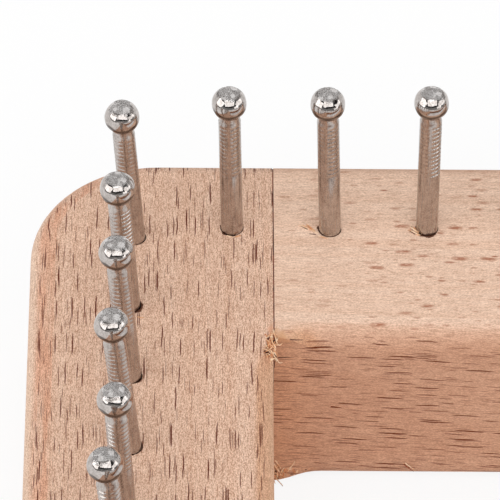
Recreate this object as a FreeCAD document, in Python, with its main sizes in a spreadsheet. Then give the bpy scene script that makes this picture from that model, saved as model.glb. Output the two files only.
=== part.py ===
import FreeCAD, Part
import math
import os
import re

import Sketcher
from FreeCAD import Placement, Rotation, Vector

# Adjustable knitting board. X runs along the rails with the pinned end at -X, Z is up, and the origin is
# at the middle of the underside. Every size below is in millimetres, apart from the three marked degrees.
sizes = {
    # wooden frame
    "frame_length": 458.0,
    "frame_width": 118.3,
    "frame_height": 19.9,
    "block_width": 23.6,
    "rail_width": 25.2,
    "corner_radius": 12.5,
    "arris_radius": 2.5,
    "router_bearing": 5.0,
    "router_overrun": 1.5,
    "glue_line": 0.12,
    # dowels in the butt joints
    "dowel_radius": 3.0,
    "dowel_length": 30.0,
    "dowel_spacing": 13.0,
    "dowel_below_pins": 0.7,
    "dowel_fit": 0.05,
    "dowel_end_room": 0.8,
    # ball-headed pins
    "pin_pitch": 9.525,
    "pin_edge": 10.1,
    "pin_radius": 1.075,
    "pin_depth": 10.0,
    "pin_tip": 0.5,
    "pin_fit": 0.06,
    "pin_joint_margin": 4.2,
    "neck_radius": 0.98,
    "neck_length": 0.9,
    "ball_radius": 1.68,
    "ball_height": 16.43,
    "drill_overrun": 3.0,
    "lean_spread_degrees": 1.4,
    # sliding crossbar and its two clamp strips
    "slider_stand": 247.65,
    "slide_gap": 0.4,
    "bar_width": 32.0,
    "bar_relief": 0.2,
    "bar_ease": 0.8,
    "slider_pin_edge": 5.0,
    "strip_width": 20.0,
    "strip_height": 5.0,
    "strip_overlap": 9.5,
    "strip_setback": 11.0,
    "strip_corner": 4.0,
    "strip_ease": 0.9,
    "strip_running_gap": 0.05,
    # stopped rebate under each rail's inner edge, where the lower strip runs
    "rebate_depth": 8.0,
    "rebate_side_room": 0.5,
    "rebate_inset": 30.0,
    # carriage bolts, washers and wing nuts
    "bolt_inset": 8.0,
    "bolt_radius": 2.5,
    "bolt_length": 32.0,
    "bolt_tip": 0.5,
    "bolt_head_radius": 6.2,
    "bolt_head_height": 2.6,
    "bolt_head_rim": 0.5,
    "bolt_neck_length": 3.0,
    "bolt_neck_room": 0.1,
    "bolt_hole_room": 0.25,
    "washer_radius": 6.0,
    "washer_thickness": 1.0,
    "washer_hole_room": 0.3,
    "nut_bore_room": 0.06,
    "nut_foot_radius": 4.9,
    "nut_top_radius": 3.9,
    "nut_height": 5.5,
    "wing_reach": 12.0,
    "wing_height": 12.0,
    "wing_ear_radius": 3.4,
    "wing_thickness": 2.0,
    "wing_root": 1.2,
    "wing_under_degrees": 40.0,
    "wing_over_degrees": 60.0,
    "wing_round": 0.5,
}

# The nine pins at the photographed corner stand as they do there: how far off its mark each was drilled,
# toward +X and +Y, and how many degrees it leans toward +X and +Y.
back_corner_pin = (0.04, 0.0, -4.1, -2.2)
back_side_pin = (0.0, 0.0, -1.5, -0.3)
back_rail_photographed = [(0.04, -0.1, -1.9, 0.0), (0.0, 0.15, -0.3, 0.0)]
end_row_photographed = [
    (-0.33, 0.05, -3.8, -4.0),
    (-0.12, -0.05, -4.5, -1.0),
    (0.0, 0.05, -5.9, -1.6),
    (-0.3, 0.0, -3.4, -2.1),
    (-0.3, 0.0, -6.1, 2.7),
]

doc = FreeCAD.newDocument("knitting_board")
sheet = doc.addObject("Spreadsheet::Sheet", "dims")
for row, (alias, size) in enumerate(sizes.items(), start=1):
    sheet.set("A%d" % row, alias)
    sheet.set("B%d" % row, str(size))
    sheet.setAlias("B%d" % row, alias)
doc.recompute()

# Sizes worked out from the sheet, as expressions
rail_length = "(frame_length - 2 * block_width - 2 * glue_line)"
rail_gap = "(frame_width - 2 * rail_width)"
end_row_x = "(pin_edge - frame_length / 2)"
row_y = "(frame_width / 2 - pin_edge)"
rail_start_x = "(block_width + glue_line - frame_length / 2)"
rail_middle_y = "(frame_width / 2 - rail_width / 2)"
dowel_z = "(frame_height - pin_depth - dowel_below_pins - dowel_radius)"
bar_length = "(frame_width - 2 * rail_width - 2 * slide_gap)"
bar_height = "(frame_height - rebate_depth - 2 * bar_relief)"
bar_start_x = "(pin_edge - frame_length / 2 + slider_stand - slider_pin_edge)"
strip_length = "(frame_width - 2 * rail_width + 2 * strip_overlap)"
strip_middle_x = "(" + bar_start_x + " + strip_setback + strip_width / 2)"
bolt_y = "(frame_width / 2 - rail_width - bolt_inset)"
upper_strip_z = "(frame_height + strip_running_gap)"
under_strip_z = "(rebate_depth - strip_running_gap - strip_height)"
washer_z = "(" + upper_strip_z + " + strip_height)"
nut_z = "(" + washer_z + " + washer_thickness)"


def cells(expression):
    """Point each size named in an expression at its cell."""
    def point(match):
        word = match.group()
        return "dims." + word if word in sizes else word
    return re.sub(r"[a-z_]+", point, str(expression))


def value(expression):
    return float(sheet.evalExpression(cells(expression)))


def bind(thing, prop, expression):
    thing.setExpression(prop, cells(expression))


def move(thing, x=0, y=0, z=0):
    """Bind a thing's place to the sheet; its turn stays as it is."""
    for axis, expression in zip("xyz", (x, y, z)):
        bind(thing, "Placement.Base." + axis, expression)


def turn(thing, axis, degrees):
    thing.Placement = Placement(Vector(0, 0, 0), Rotation(axis, degrees))


# Sketch helpers
def new_body(label):
    body = doc.addObject("PartDesign::Body", label)
    body.Label = label
    return body


def new_sketch(body, name, role, offset=None):
    """A sketch on one of the body's own origin planes, set off along the plane's normal if asked."""
    sketch = body.newObject("Sketcher::SketchObject", name)
    plane = next(p for p in body.Origin.OriginFeatures if p.Role == role)
    sketch.AttachmentSupport = [(plane, "")]
    sketch.MapMode = "FlatFace"
    if offset is not None:
        bind(sketch, "AttachmentOffset.Base.z", offset)
    return sketch


def dimension(sketch, kind, geometry, point, expression):
    """Hold one coordinate of a point to an expression, or to the axis where the expression is zero."""
    size = value(expression)
    if abs(size) < 1e-9:
        axis = -2 if kind == "DistanceX" else -1
        sketch.addConstraint(Sketcher.Constraint("PointOnObject", geometry, point, axis))
        return
    index = sketch.addConstraint(Sketcher.Constraint(kind, -1, 1, geometry, point, size))
    bind(sketch, "Constraints[%d]" % index, expression)


def arc_between(start, end, radius, turning):
    """The short arc from start to end, turning left (+1) or right (-1) on its way."""
    chord = end.sub(start)
    half = chord.Length / 2
    rise = math.sqrt(max(radius * radius - half * half, 0.0))
    left = Vector(-chord.y, chord.x, 0).normalize()
    middle = start.add(chord.multiply(0.5)).add(left.multiply(turning * rise))
    first, last = (start, end) if turning > 0 else (end, start)
    angles = [math.atan2(p.y - middle.y, p.x - middle.x) for p in (first, last)]
    if angles[1] < angles[0]:
        angles[1] += 2 * math.pi
    circle = Part.Circle(middle, Vector(0, 0, 1), radius)
    return Part.ArcOfCircle(circle, angles[0], angles[1])


def draw_loop(sketch, corners, arcs=None):
    """Close a loop through corners given as (x, y) expressions. arcs maps a side to (radius, turning)."""
    arcs = arcs or {}
    places = [Vector(value(x), value(y), 0) for x, y in corners]
    ends = []
    for side, start in enumerate(places):
        end = places[(side + 1) % len(places)]
        if side in arcs:
            radius, turning = arcs[side]
            geometry = sketch.addGeometry(arc_between(start, end, value(radius), turning), False)
            index = sketch.addConstraint(Sketcher.Constraint("Radius", geometry, value(radius)))
            bind(sketch, "Constraints[%d]" % index, radius)
            ends.append((geometry, 1, 2) if turning > 0 else (geometry, 2, 1))
        else:
            geometry = sketch.addGeometry(Part.LineSegment(start, end), False)
            ends.append((geometry, 1, 2))
    for side, (geometry, first, last) in enumerate(ends):
        following = ends[(side + 1) % len(ends)]
        sketch.addConstraint(Sketcher.Constraint("Coincident", geometry, last, following[0], following[1]))
    for (geometry, first, last), (x, y) in zip(ends, corners):
        dimension(sketch, "DistanceX", geometry, first, x)
        dimension(sketch, "DistanceY", geometry, first, y)


def draw_rectangle(sketch, left, right, low, high):
    draw_loop(sketch, [(left, low), (right, low), (right, high), (left, high)])


def draw_circle(sketch, x, y, radius):
    centre = Vector(value(x), value(y), 0)
    geometry = sketch.addGeometry(Part.Circle(centre, Vector(0, 0, 1), value(radius)), False)
    dimension(sketch, "DistanceX", geometry, 3, x)
    dimension(sketch, "DistanceY", geometry, 3, y)
    index = sketch.addConstraint(Sketcher.Constraint("Radius", geometry, value(radius)))
    bind(sketch, "Constraints[%d]" % index, radius)


# Feature helpers
def pad(body, name, sketch, length):
    feature = body.newObject("PartDesign::Pad", name)
    feature.Profile = sketch
    bind(feature, "Length", length)
    doc.recompute()
    return feature


def pocket(body, name, sketch, depth, reverse):
    """Cut a sketch into the body, and stop if nothing came off."""
    before = body.Shape.Volume
    feature = body.newObject("PartDesign::Pocket", name)
    feature.Profile = sketch
    feature.Reversed = reverse
    bind(feature, "Length", depth)
    doc.recompute()
    if not body.Shape.Volume < before - 1e-6:
        raise ValueError(name + " cuts nothing")
    return feature


def revolve(body, name, sketch):
    feature = body.newObject("PartDesign::Revolution", name)
    feature.Profile = sketch
    feature.ReferenceAxis = (sketch, ["V_Axis"])
    feature.Angle = 360
    doc.recompute()
    return feature


def fillet(body, name, radius, chosen):
    """Round the edges of the body's tip that the test picks."""
    base = body.Tip
    names = ["Edge%d" % n for n, edge in enumerate(base.Shape.Edges, start=1) if chosen(edge)]
    feature = body.newObject("PartDesign::Fillet", name)
    feature.Base = (base, names)
    bind(feature, "Radius", radius)
    doc.recompute()
    return feature


def gather(name, things):
    compound = doc.addObject("Part::Compound", name)
    compound.Links = things
    return compound


def cut(label, base, tools):
    """Take the tools out of a blank; the result is the finished piece."""
    result = doc.addObject("Part::Cut", label)
    result.Label = label
    result.Base = base
    result.Tool = gather(label + "_cutters", tools)
    return result


def link(name, source):
    copy = doc.addObject("App::Link", name)
    copy.LinkedObject = source
    return copy


def is_upright(edge):
    box = edge.BoundBox
    return box.ZLength > 1e-6 and box.XLength < 1e-6 and box.YLength < 1e-6


# Steel pin: a straight shank, a drawn neck and a ball head. Its origin is where it leaves the wood.
def make_pin():
    body = new_body("pin_pattern")
    sketch = new_sketch(body, "pin_profile", "XZ_Plane")
    ball_foot = "(ball_height - sqrt(ball_radius ^ 2 - neck_radius ^ 2))"
    draw_loop(sketch, [
        ("0", "-pin_depth"),
        ("pin_radius - pin_tip", "-pin_depth"),
        ("pin_radius", "pin_tip - pin_depth"),
        ("pin_radius", ball_foot + " - neck_length"),
        ("neck_radius", ball_foot + " - neck_length / 2"),
        ("neck_radius", ball_foot),
        ("0", "ball_height + ball_radius"),
    ], {5: ("ball_radius", 1)})
    revolve(body, "pin_turning", sketch)
    return body


# Drill for one pin: a plain hole whose flat bottom the pin stands on
def make_pin_drill():
    body = new_body("pin_drill")
    sketch = new_sketch(body, "drill_profile", "XZ_Plane")
    draw_rectangle(sketch, "0", "pin_radius + pin_fit", "-pin_depth", "drill_overrun")
    revolve(body, "drill_turning", sketch)
    return body


def wander(number, phase):
    """The small uneven stand of a pin that the photograph doesn't show."""
    spread = sizes["lean_spread_degrees"]
    lean_x = spread * math.sin(2.4 * number + phase)
    lean_y = spread * math.sin(1.7 * number + 2 * phase + 0.6)
    return 0.0, 0.0, lean_x, lean_y


def stand_pins(label, places, top):
    """Copies of the pin and of its drill at each place, given as (x, y, (off x, off y, lean x, lean y))."""
    pins = []
    drills = []
    for number, (x, y, (off_x, off_y, lean_x, lean_y)) in enumerate(places, start=1):
        way = Vector(math.tan(math.radians(lean_x)), math.tan(math.radians(lean_y)), 1)
        for source, group, word in ((pin, pins, "pin"), (pin_drill, drills, "hole")):
            copy = link("%s_%s_%d" % (label, word, number), source)
            copy.Placement = Placement(Vector(0, 0, 0), Rotation(Vector(0, 0, 1), way))
            move(copy, "%s + %g" % (x, off_x), "%s + %g" % (y, off_y), top)
            group.append(copy)
    row = gather(label, pins)
    row.Label = label
    return row, drills


def rail_pin_places(side):
    """Pins along one rail, on from the two that stand on the pinned block."""
    pitch = value("pin_pitch")
    start = value(rail_start_x) + value("pin_joint_margin")
    end = value(rail_start_x) + value(rail_length) - value("pin_joint_margin")
    first = math.ceil((start - value(end_row_x)) / pitch - 1e-9)
    last = math.floor((end - value(end_row_x)) / pitch + 1e-9)
    places = []
    for number in range(first, last + 1):
        stand = wander(number, 0.0 if side > 0 else 1.9)
        if side > 0 and number - first < len(back_rail_photographed):
            stand = back_rail_photographed[number - first]
        places.append(("%s + %d * pin_pitch" % (end_row_x, number), "%d * %s" % (side, row_y), stand))
    return places


def block_side_pin_places():
    """Pins of the two long rows that fall on the pinned block, one each side, beside the corner pins."""
    room = value("block_width") - value("pin_edge") - value("pin_radius")
    count = int(room / value("pin_pitch"))
    places = []
    for side in (1, -1):
        for number in range(1, count + 1):
            stand = back_side_pin if side > 0 and number == 1 else wander(number, 3.1)
            places.append(("%s + %d * pin_pitch" % (end_row_x, number), "%d * %s" % (side, row_y), stand))
    return places


def end_pin_count():
    span = 2 * value(row_y) - 2 * value("pin_radius")
    return int(span / value("pin_pitch")) + 1


def end_row_places():
    """The row across the pinned block, from the back corner to the front one, centred on the block."""
    count = end_pin_count()
    stands = [back_corner_pin] + end_row_photographed
    places = []
    for number in range(count):
        stand = stands[number] if number < len(stands) else wander(number, 0.8)
        places.append((end_row_x, "%g * pin_pitch" % ((count - 1) / 2 - number), stand))
    return places


def slider_row_places():
    """The crossbar's row, each pin in line with one of the end row's."""
    room = value("rail_width") + value("slide_gap") + value("pin_joint_margin") - value("pin_edge")
    corner_step = value(row_y) - (end_pin_count() - 1) / 2 * value("pin_pitch")
    skipped = math.ceil((room - corner_step) / value("pin_pitch"))
    count = end_pin_count() - 2 * skipped
    x = end_row_x + " + slider_stand"
    places = []
    for number in range(count):
        places.append((x, "%g * pin_pitch" % ((count - 1) / 2 - number), wander(number, 5.0)))
    return places


# Round-over passes. A cutter with a guide bearing is run round the outside and round the well after the
# frame is glued up, so that the outer pass follows the rounded corners, and the inner pass turns at the
# bearing's radius and leaves a little square wood in each corner of the well.
def make_round_over(label, half_x, half_y, path_radius, outward):
    body = new_body(label)
    path = new_sketch(body, label + "_path", "XY_Plane")
    right = "(%s)" % half_x
    back = "(%s)" % half_y
    straight_x = "(%s - %s)" % (right, path_radius)
    straight_y = "(%s - %s)" % (back, path_radius)
    bend = (path_radius, -1)
    draw_loop(path, [
        ("-" + right, "0"),
        ("-" + right, straight_y),
        ("-" + straight_x, back),
        (straight_x, back),
        (right, straight_y),
        (right, "-" + straight_y),
        (straight_x, "-" + back),
        ("-" + straight_x, "-" + back),
        ("-" + right, "-" + straight_y),
    ], {1: bend, 3: bend, 5: bend, 7: bend})
    profile = new_sketch(body, label + "_profile", "XZ_Plane")
    sign = "-" if outward else "+"
    against = "+" if outward else "-"
    clear = "-%s %s router_overrun" % (right, sign)
    wall = "-" + right
    over = "-%s %s arris_radius" % (right, against)
    draw_loop(profile, [
        (clear, "-arris_radius"),
        (wall, "-arris_radius"),
        (over, "0"),
        (over, "router_overrun"),
        (clear, "router_overrun"),
    ], {1: ("arris_radius", -1 if outward else 1)})
    pipe = body.newObject("PartDesign::AdditivePipe", label + "_pass")
    pipe.Profile = profile
    pipe.Spine = path
    doc.recompute()
    return body


def round_over_passes():
    """The outer and inner passes, each made from above and again from below."""
    outer = make_round_over("outer_pass", "frame_length / 2", "frame_width / 2", "corner_radius", True)
    inner = make_round_over("inner_pass", "frame_length / 2 - block_width", "frame_width / 2 - rail_width",
                            "router_bearing", False)
    passes = []
    for source in (outer, inner):
        upper = link(source.Name + "_upper", source)
        move(upper, z="frame_height")
        lower = link(source.Name + "_lower", source)
        turn(lower, Vector(1, 0, 0), 180)
        passes += [upper, lower]
    return passes


# End block: its local origin is at the middle of its outer face's foot, with the rails at +X
def make_end_block(label):
    body = new_body(label)
    outline = new_sketch(body, label + "_outline", "XY_Plane")
    half = "frame_width / 2"
    straight = "(frame_width / 2 - corner_radius)"
    draw_loop(outline, [
        ("block_width", "-" + half),
        ("block_width", half),
        ("corner_radius", half),
        ("0", straight),
        ("0", "-" + straight),
        ("corner_radius", "-" + half),
    ], {2: ("corner_radius", 1), 4: ("corner_radius", 1)})
    pad(body, label + "_plank", outline, "frame_height")
    holes = new_sketch(body, label + "_dowel_marks", "YZ_Plane", "block_width")
    for side in (-1, 1):
        for step in (-1, 1):
            place = "%d * %s + %d * dowel_spacing / 2" % (side, rail_middle_y, step)
            draw_circle(holes, place, dowel_z, "dowel_radius + dowel_fit")
    pocket(body, label + "_dowel_holes", holes, "dowel_length / 2 + dowel_end_room", False)
    return body


# Rail: its local origin is at the foot of its inner face, at one end, with the outside at +Y
def make_rail(label):
    body = new_body(label)
    outline = new_sketch(body, label + "_outline", "XY_Plane")
    draw_rectangle(outline, "0", rail_length, "0", "rail_width")
    pad(body, label + "_plank", outline, "frame_height")
    rebate = new_sketch(body, label + "_rebate_outline", "XY_Plane")
    rebate_width = "strip_overlap + rebate_side_room"
    draw_rectangle(rebate, "rebate_inset", rail_length + " - rebate_inset", "-router_overrun", rebate_width)
    pocket(body, label + "_rebate", rebate, "rebate_depth", True)

    def is_rebate_corner(edge):
        middle = edge.BoundBox.Center
        return is_upright(edge) and abs(middle.y - value(rebate_width)) < 1e-3
    fillet(body, label + "_rebate_corners", "strip_corner", is_rebate_corner)
    for end, offset, reverse in (("near", "0", True), ("far", rail_length, False)):
        holes = new_sketch(body, "%s_%s_dowel_marks" % (label, end), "YZ_Plane", offset)
        for step in (-1, 1):
            place = "rail_width / 2 + %d * dowel_spacing / 2" % step
            draw_circle(holes, place, dowel_z, "dowel_radius + dowel_fit")
        pocket(body, "%s_%s_dowel_holes" % (label, end), holes, "dowel_length / 2 + dowel_end_room", reverse)
    return body


def make_dowels(label, side):
    """The four dowels of one end block, two to each rail, half their length on each side of the joint."""
    dowels = []
    for row_side in (-1, 1):
        for step in (-1, 1):
            dowel = doc.addObject("Part::Cylinder", "%s_%d" % (label, len(dowels) + 1))
            bind(dowel, "Radius", "dowel_radius")
            bind(dowel, "Height", "dowel_length")
            turn(dowel, Vector(0, 1, 0), 90)
            joint = "%d * (frame_length / 2 - block_width - glue_line / 2)" % side
            move(dowel, joint + " - dowel_length / 2",
                 "%d * %s + %d * dowel_spacing / 2" % (row_side, rail_middle_y, step), dowel_z)
            dowels.append(dowel)
    group = gather(label, dowels)
    group.Label = label
    return group


# Crossbar: its local origin is at the middle of its front face's foot, with the clamp strips at +X
def make_bar(label):
    body = new_body(label)
    outline = new_sketch(body, label + "_outline", "XY_Plane")
    half = bar_length + " / 2"
    draw_rectangle(outline, "0", "bar_width", "-" + half, half)
    pad(body, label + "_plank", outline, bar_height)
    bolt_x = "strip_setback + strip_width / 2"
    holes = new_sketch(body, label + "_bolt_marks", "XY_Plane")
    for side in (-1, 1):
        draw_circle(holes, bolt_x, "%d * %s" % (side, bolt_y), "bolt_radius + bolt_hole_room")
    pocket(body, label + "_bolt_holes", holes, bar_height, True)

    def is_long_arris(edge):
        box = edge.BoundBox
        return box.YLength > value(bar_length) - 1e-3 and box.XLength < 1e-6 and box.ZLength < 1e-6
    fillet(body, label + "_arrises", "bar_ease", is_long_arris)
    return body


# Clamp strip: its local origin is at the middle of its underside. The lower strip has a square socket
# for each bolt's neck, sunk from below.
def make_strip(label, socketed):
    body = new_body(label)
    outline = new_sketch(body, label + "_outline", "XY_Plane")
    end = strip_length + " / 2"
    draw_rectangle(outline, "-strip_width / 2", "strip_width / 2", "-" + end, end)
    pad(body, label + "_board", outline, "strip_height")
    fillet(body, label + "_corners", "strip_corner", is_upright)
    holes = new_sketch(body, label + "_bolt_marks", "XY_Plane")
    for side in (-1, 1):
        draw_circle(holes, "0", "%d * %s" % (side, bolt_y), "bolt_radius + bolt_hole_room")
    pocket(body, label + "_bolt_holes", holes, "strip_height", True)
    eased = 0.0 if socketed else value("strip_height")

    def is_eased_rim(edge):
        box = edge.BoundBox
        at_height = abs(box.ZMin - eased) < 1e-6 and box.ZLength < 1e-6
        return at_height and not is_hole_rim(edge)
    fillet(body, label + "_ease", "strip_ease", is_eased_rim)
    if socketed:
        sockets = new_sketch(body, label + "_socket_marks", "XY_Plane")
        half = "(bolt_radius + bolt_neck_room)"
        for side in (-1, 1):
            middle = "%d * %s" % (side, bolt_y)
            draw_rectangle(sockets, "-" + half, half, middle + " - " + half, middle + " + " + half)
        pocket(body, label + "_sockets", sockets, "bolt_neck_length + bolt_neck_room", True)
    return body


def is_hole_rim(edge):
    whole_circle = edge.isClosed() and isinstance(edge.Curve, Part.Circle)
    return whole_circle and abs(edge.Curve.Radius - value("bolt_radius + bolt_hole_room")) < 1e-6


# Carriage bolt: its local origin is under its domed head, with the shank at +Z
def make_bolt(label):
    body = new_body(label)
    profile = new_sketch(body, label + "_profile", "XZ_Plane")
    dome = "(bolt_head_height - bolt_head_rim)"
    draw_loop(profile, [
        ("0", "-bolt_head_height"),
        ("bolt_head_radius", "-bolt_head_rim"),
        ("bolt_head_radius", "0"),
        ("bolt_radius", "0"),
        ("bolt_radius", "bolt_length - bolt_tip"),
        ("bolt_radius - bolt_tip", "bolt_length"),
        ("0", "bolt_length"),
    ], {0: ("(bolt_head_radius ^ 2 + %s ^ 2) / (2 * %s)" % (dome, dome), 1)})
    revolve(body, label + "_turning", profile)
    neck = new_sketch(body, label + "_neck_outline", "XY_Plane")
    draw_rectangle(neck, "-bolt_radius", "bolt_radius", "-bolt_radius", "bolt_radius")
    pad(body, label + "_neck", neck, "bolt_neck_length")
    return body


def make_washer(label):
    body = new_body(label)
    outline = new_sketch(body, label + "_outline", "XY_Plane")
    draw_circle(outline, "0", "0", "washer_radius")
    draw_circle(outline, "0", "0", "bolt_radius + washer_hole_room")
    pad(body, label + "_disc", outline, "washer_thickness")
    return body


# Wing nut: a tapered barrel with two upswept ears; its local origin is at the middle of its foot
def make_ear(label):
    body = new_body(label)
    outline = new_sketch(body, label + "_outline", "XZ_Plane")
    ear_x = "(wing_reach - wing_ear_radius)"
    ear_z = "(wing_height - wing_ear_radius)"
    under = "wing_under_degrees"
    over = "wing_over_degrees"
    root = "(nut_top_radius - wing_root / 2)"
    draw_loop(outline, [
        (root, "wing_root / 2"),
        ("%s + wing_ear_radius * sin(%s)" % (ear_x, under), "%s - wing_ear_radius * cos(%s)" % (ear_z, under)),
        ("%s + wing_ear_radius" % ear_x, ear_z),
        ("%s - wing_ear_radius * sin(%s)" % (ear_x, over), "%s + wing_ear_radius * cos(%s)" % (ear_z, over)),
        (root, "nut_height - wing_root"),
    ], {1: ("wing_ear_radius", 1), 2: ("wing_ear_radius", 1)})
    wing = pad(body, label + "_blade", outline, "wing_thickness")
    wing.Midplane = True
    doc.recompute()

    def is_flank_edge(edge):
        return edge.BoundBox.YLength < 1e-6
    fillet(body, label + "_rounding", "wing_round", is_flank_edge)
    return body


def make_wing_nut(label):
    barrel = new_body(label + "_barrel")
    profile = new_sketch(barrel, label + "_profile", "XZ_Plane")
    bore = "bolt_radius + nut_bore_room"
    draw_loop(profile, [
        (bore, "0"),
        ("nut_foot_radius", "0"),
        ("nut_top_radius", "nut_height"),
        (bore, "nut_height"),
    ])
    revolve(barrel, label + "_turning", profile)
    ear = make_ear(label + "_ear")
    other_ear = link(label + "_other_ear", ear)
    turn(other_ear, Vector(0, 0, 1), 180)
    nut = doc.addObject("Part::MultiFuse", label)
    nut.Label = label
    nut.Shapes = [barrel, ear, other_ear]
    return nut


pin = make_pin()
pin_drill = make_pin_drill()
passes = round_over_passes()

# Rows of pins, and the holes they stand in
end_row_pins, end_row_holes = stand_pins("end_row_pins", end_row_places(), "frame_height")
block_side_pins, block_side_holes = stand_pins("block_side_pins", block_side_pin_places(), "frame_height")
back_rail_pins, back_rail_holes = stand_pins("back_rail_pins", rail_pin_places(1), "frame_height")
front_rail_pins, front_rail_holes = stand_pins("front_rail_pins", rail_pin_places(-1), "frame_height")
slider_pins, slider_holes = stand_pins("slider_pins", slider_row_places(), "frame_height - bar_relief")

# Wooden frame
pinned_block_blank = make_end_block("pinned_end_block_blank")
move(pinned_block_blank, "-frame_length / 2")
plain_block_blank = make_end_block("plain_end_block_blank")
turn(plain_block_blank, Vector(0, 0, 1), 180)
move(plain_block_blank, "frame_length / 2")
back_rail_blank = make_rail("back_rail_blank")
move(back_rail_blank, rail_start_x, rail_gap + " / 2")
front_rail_blank = make_rail("front_rail_blank")
turn(front_rail_blank, Vector(0, 0, 1), 180)
move(front_rail_blank, "-" + rail_start_x, "-" + rail_gap + " / 2")

pinned_end_block = cut("pinned_end_block", pinned_block_blank, passes + end_row_holes + block_side_holes)
plain_end_block = cut("plain_end_block", plain_block_blank, passes)
back_rail = cut("back_rail", back_rail_blank, passes + back_rail_holes)
front_rail = cut("front_rail", front_rail_blank, passes + front_rail_holes)
pinned_end_dowels = make_dowels("pinned_end_dowels", -1)
plain_end_dowels = make_dowels("plain_end_dowels", 1)

# Sliding crossbar
bar_blank = make_bar("slider_bar_blank")
move(bar_blank, bar_start_x, "0", "rebate_depth + bar_relief")
slider_bar = cut("slider_bar", bar_blank, slider_holes)
upper_strip = make_strip("upper_clamp_strip", False)
move(upper_strip, strip_middle_x, "0", upper_strip_z)
under_strip = make_strip("under_clamp_strip", True)
move(under_strip, strip_middle_x, "0", under_strip_z)

# Clamp fasteners, one set near each rail
fasteners = []
for side_name, side in (("back", 1), ("front", -1)):
    place = "%d * %s" % (side, bolt_y)
    for make, word, height in ((make_bolt, "carriage_bolt", under_strip_z), (make_washer, "washer", washer_z),
                               (make_wing_nut, "wing_nut", nut_z)):
        piece = make("%s_%s" % (side_name, word))
        if word == "wing_nut":
            turn(piece, Vector(0, 0, 1), 90 + 20 * side)
        move(piece, strip_middle_x, place, height)
        fasteners.append(piece)

doc.recompute()

pieces = [
    pinned_end_block, plain_end_block, back_rail, front_rail, pinned_end_dowels, plain_end_dowels,
    end_row_pins, block_side_pins, back_rail_pins, front_rail_pins,
    slider_bar, upper_strip, under_strip, slider_pins,
] + fasteners

for thing in doc.Objects:
    if "Invalid" in thing.State or "Error" in thing.State:
        raise ValueError(thing.Label + " failed: " + str(thing.State))
for piece in pieces:
    if piece.Shape.isNull() or not piece.Shape.isValid():
        raise ValueError(piece.Label + " has no valid shape")

os.makedirs("parts", exist_ok=True)
for piece in pieces:
    piece.Shape.exportStep("parts/%s.step" % piece.Label)
    print(piece.Label, len(piece.Shape.Solids), "solids,", round(piece.Shape.Volume, 1), "mm3")
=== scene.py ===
import math
import random

import bpy
from mathutils import Matrix, Quaternion, Vector


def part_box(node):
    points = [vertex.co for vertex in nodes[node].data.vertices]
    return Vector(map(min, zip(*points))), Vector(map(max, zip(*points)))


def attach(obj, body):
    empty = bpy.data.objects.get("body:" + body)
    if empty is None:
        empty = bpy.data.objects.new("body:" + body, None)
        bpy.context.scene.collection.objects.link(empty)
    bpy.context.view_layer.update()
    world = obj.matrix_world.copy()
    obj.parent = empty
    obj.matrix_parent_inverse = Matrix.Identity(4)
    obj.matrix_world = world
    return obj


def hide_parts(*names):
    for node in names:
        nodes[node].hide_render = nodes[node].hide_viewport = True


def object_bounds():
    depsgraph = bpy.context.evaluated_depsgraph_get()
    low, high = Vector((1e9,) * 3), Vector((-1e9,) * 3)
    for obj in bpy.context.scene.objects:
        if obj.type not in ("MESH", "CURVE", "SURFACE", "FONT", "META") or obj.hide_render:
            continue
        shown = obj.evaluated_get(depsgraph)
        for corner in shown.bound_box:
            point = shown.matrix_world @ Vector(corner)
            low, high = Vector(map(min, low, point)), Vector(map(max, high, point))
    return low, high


# Adjustable knitting board: beech frame, ball-headed steel pins, sliding crossbar with two wing nuts.
# Blender works in metres here, so every length below is a number of millimetres times mm.
mm = 0.001
random.seed(11)

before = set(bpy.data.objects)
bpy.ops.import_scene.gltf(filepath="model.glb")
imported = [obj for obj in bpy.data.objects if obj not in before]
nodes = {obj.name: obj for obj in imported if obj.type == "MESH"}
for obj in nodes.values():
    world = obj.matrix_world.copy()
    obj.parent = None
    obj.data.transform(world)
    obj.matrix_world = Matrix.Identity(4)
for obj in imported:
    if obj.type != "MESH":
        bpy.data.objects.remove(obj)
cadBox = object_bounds()
print("frame loaded:", len(nodes), "nodes")


# Editing helpers
def stopEditing():
    bpy.ops.object.mode_set(mode="OBJECT")


def deselectAll():
    if bpy.context.object and bpy.context.object.mode != "OBJECT":
        stopEditing()
    bpy.ops.object.select_all(action="DESELECT")


def makeActive(piece):
    deselectAll()
    piece.select_set(True)
    bpy.context.view_layer.objects.active = piece


def startPiece(name):
    piece = bpy.context.object
    piece.name = name
    piece.data.name = name
    return piece


def editPiece(piece, everything=False):
    makeActive(piece)
    bpy.ops.object.mode_set(mode="EDIT")
    bpy.ops.mesh.select_mode(type="VERT")
    if everything:
        bpy.ops.mesh.select_all(action="SELECT")


def selectVerts(piece, test):
    bpy.ops.mesh.select_all(action="DESELECT")
    stopEditing()
    for vert in piece.data.vertices:
        vert.select = test(vert.co)
    bpy.ops.object.mode_set(mode="EDIT")


def selectEdges(piece, test):
    # leaves only those edges between two selected corners that also pass a test on the way they run
    bpy.ops.mesh.select_mode(type="EDGE")
    stopEditing()
    mesh = piece.data
    kept = []
    for edge in mesh.edges:
        first, second = (mesh.vertices[index] for index in edge.vertices)
        if first.select and second.select and test(second.co - first.co):
            kept.append(edge)
    for elements in (mesh.polygons, mesh.edges, mesh.vertices):
        elements.foreach_set("select", [False] * len(elements))
    for edge in kept:
        edge.select = True
    bpy.ops.object.mode_set(mode="EDIT")


def resizeAbout(share, centre):
    bpy.ops.transform.resize(value=share, center_override=centre)


def rotateAbout(degrees, centre):
    bpy.ops.transform.rotate(value=math.radians(degrees), orient_axis="Y", center_override=centre)


def addModifier(piece, kind, **settings):
    makeActive(piece)
    modifier = piece.modifiers.new(kind.title(), kind)
    for name, value in settings.items():
        setattr(modifier, name, value)
    bpy.ops.object.modifier_apply(modifier=modifier.name)


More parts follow.
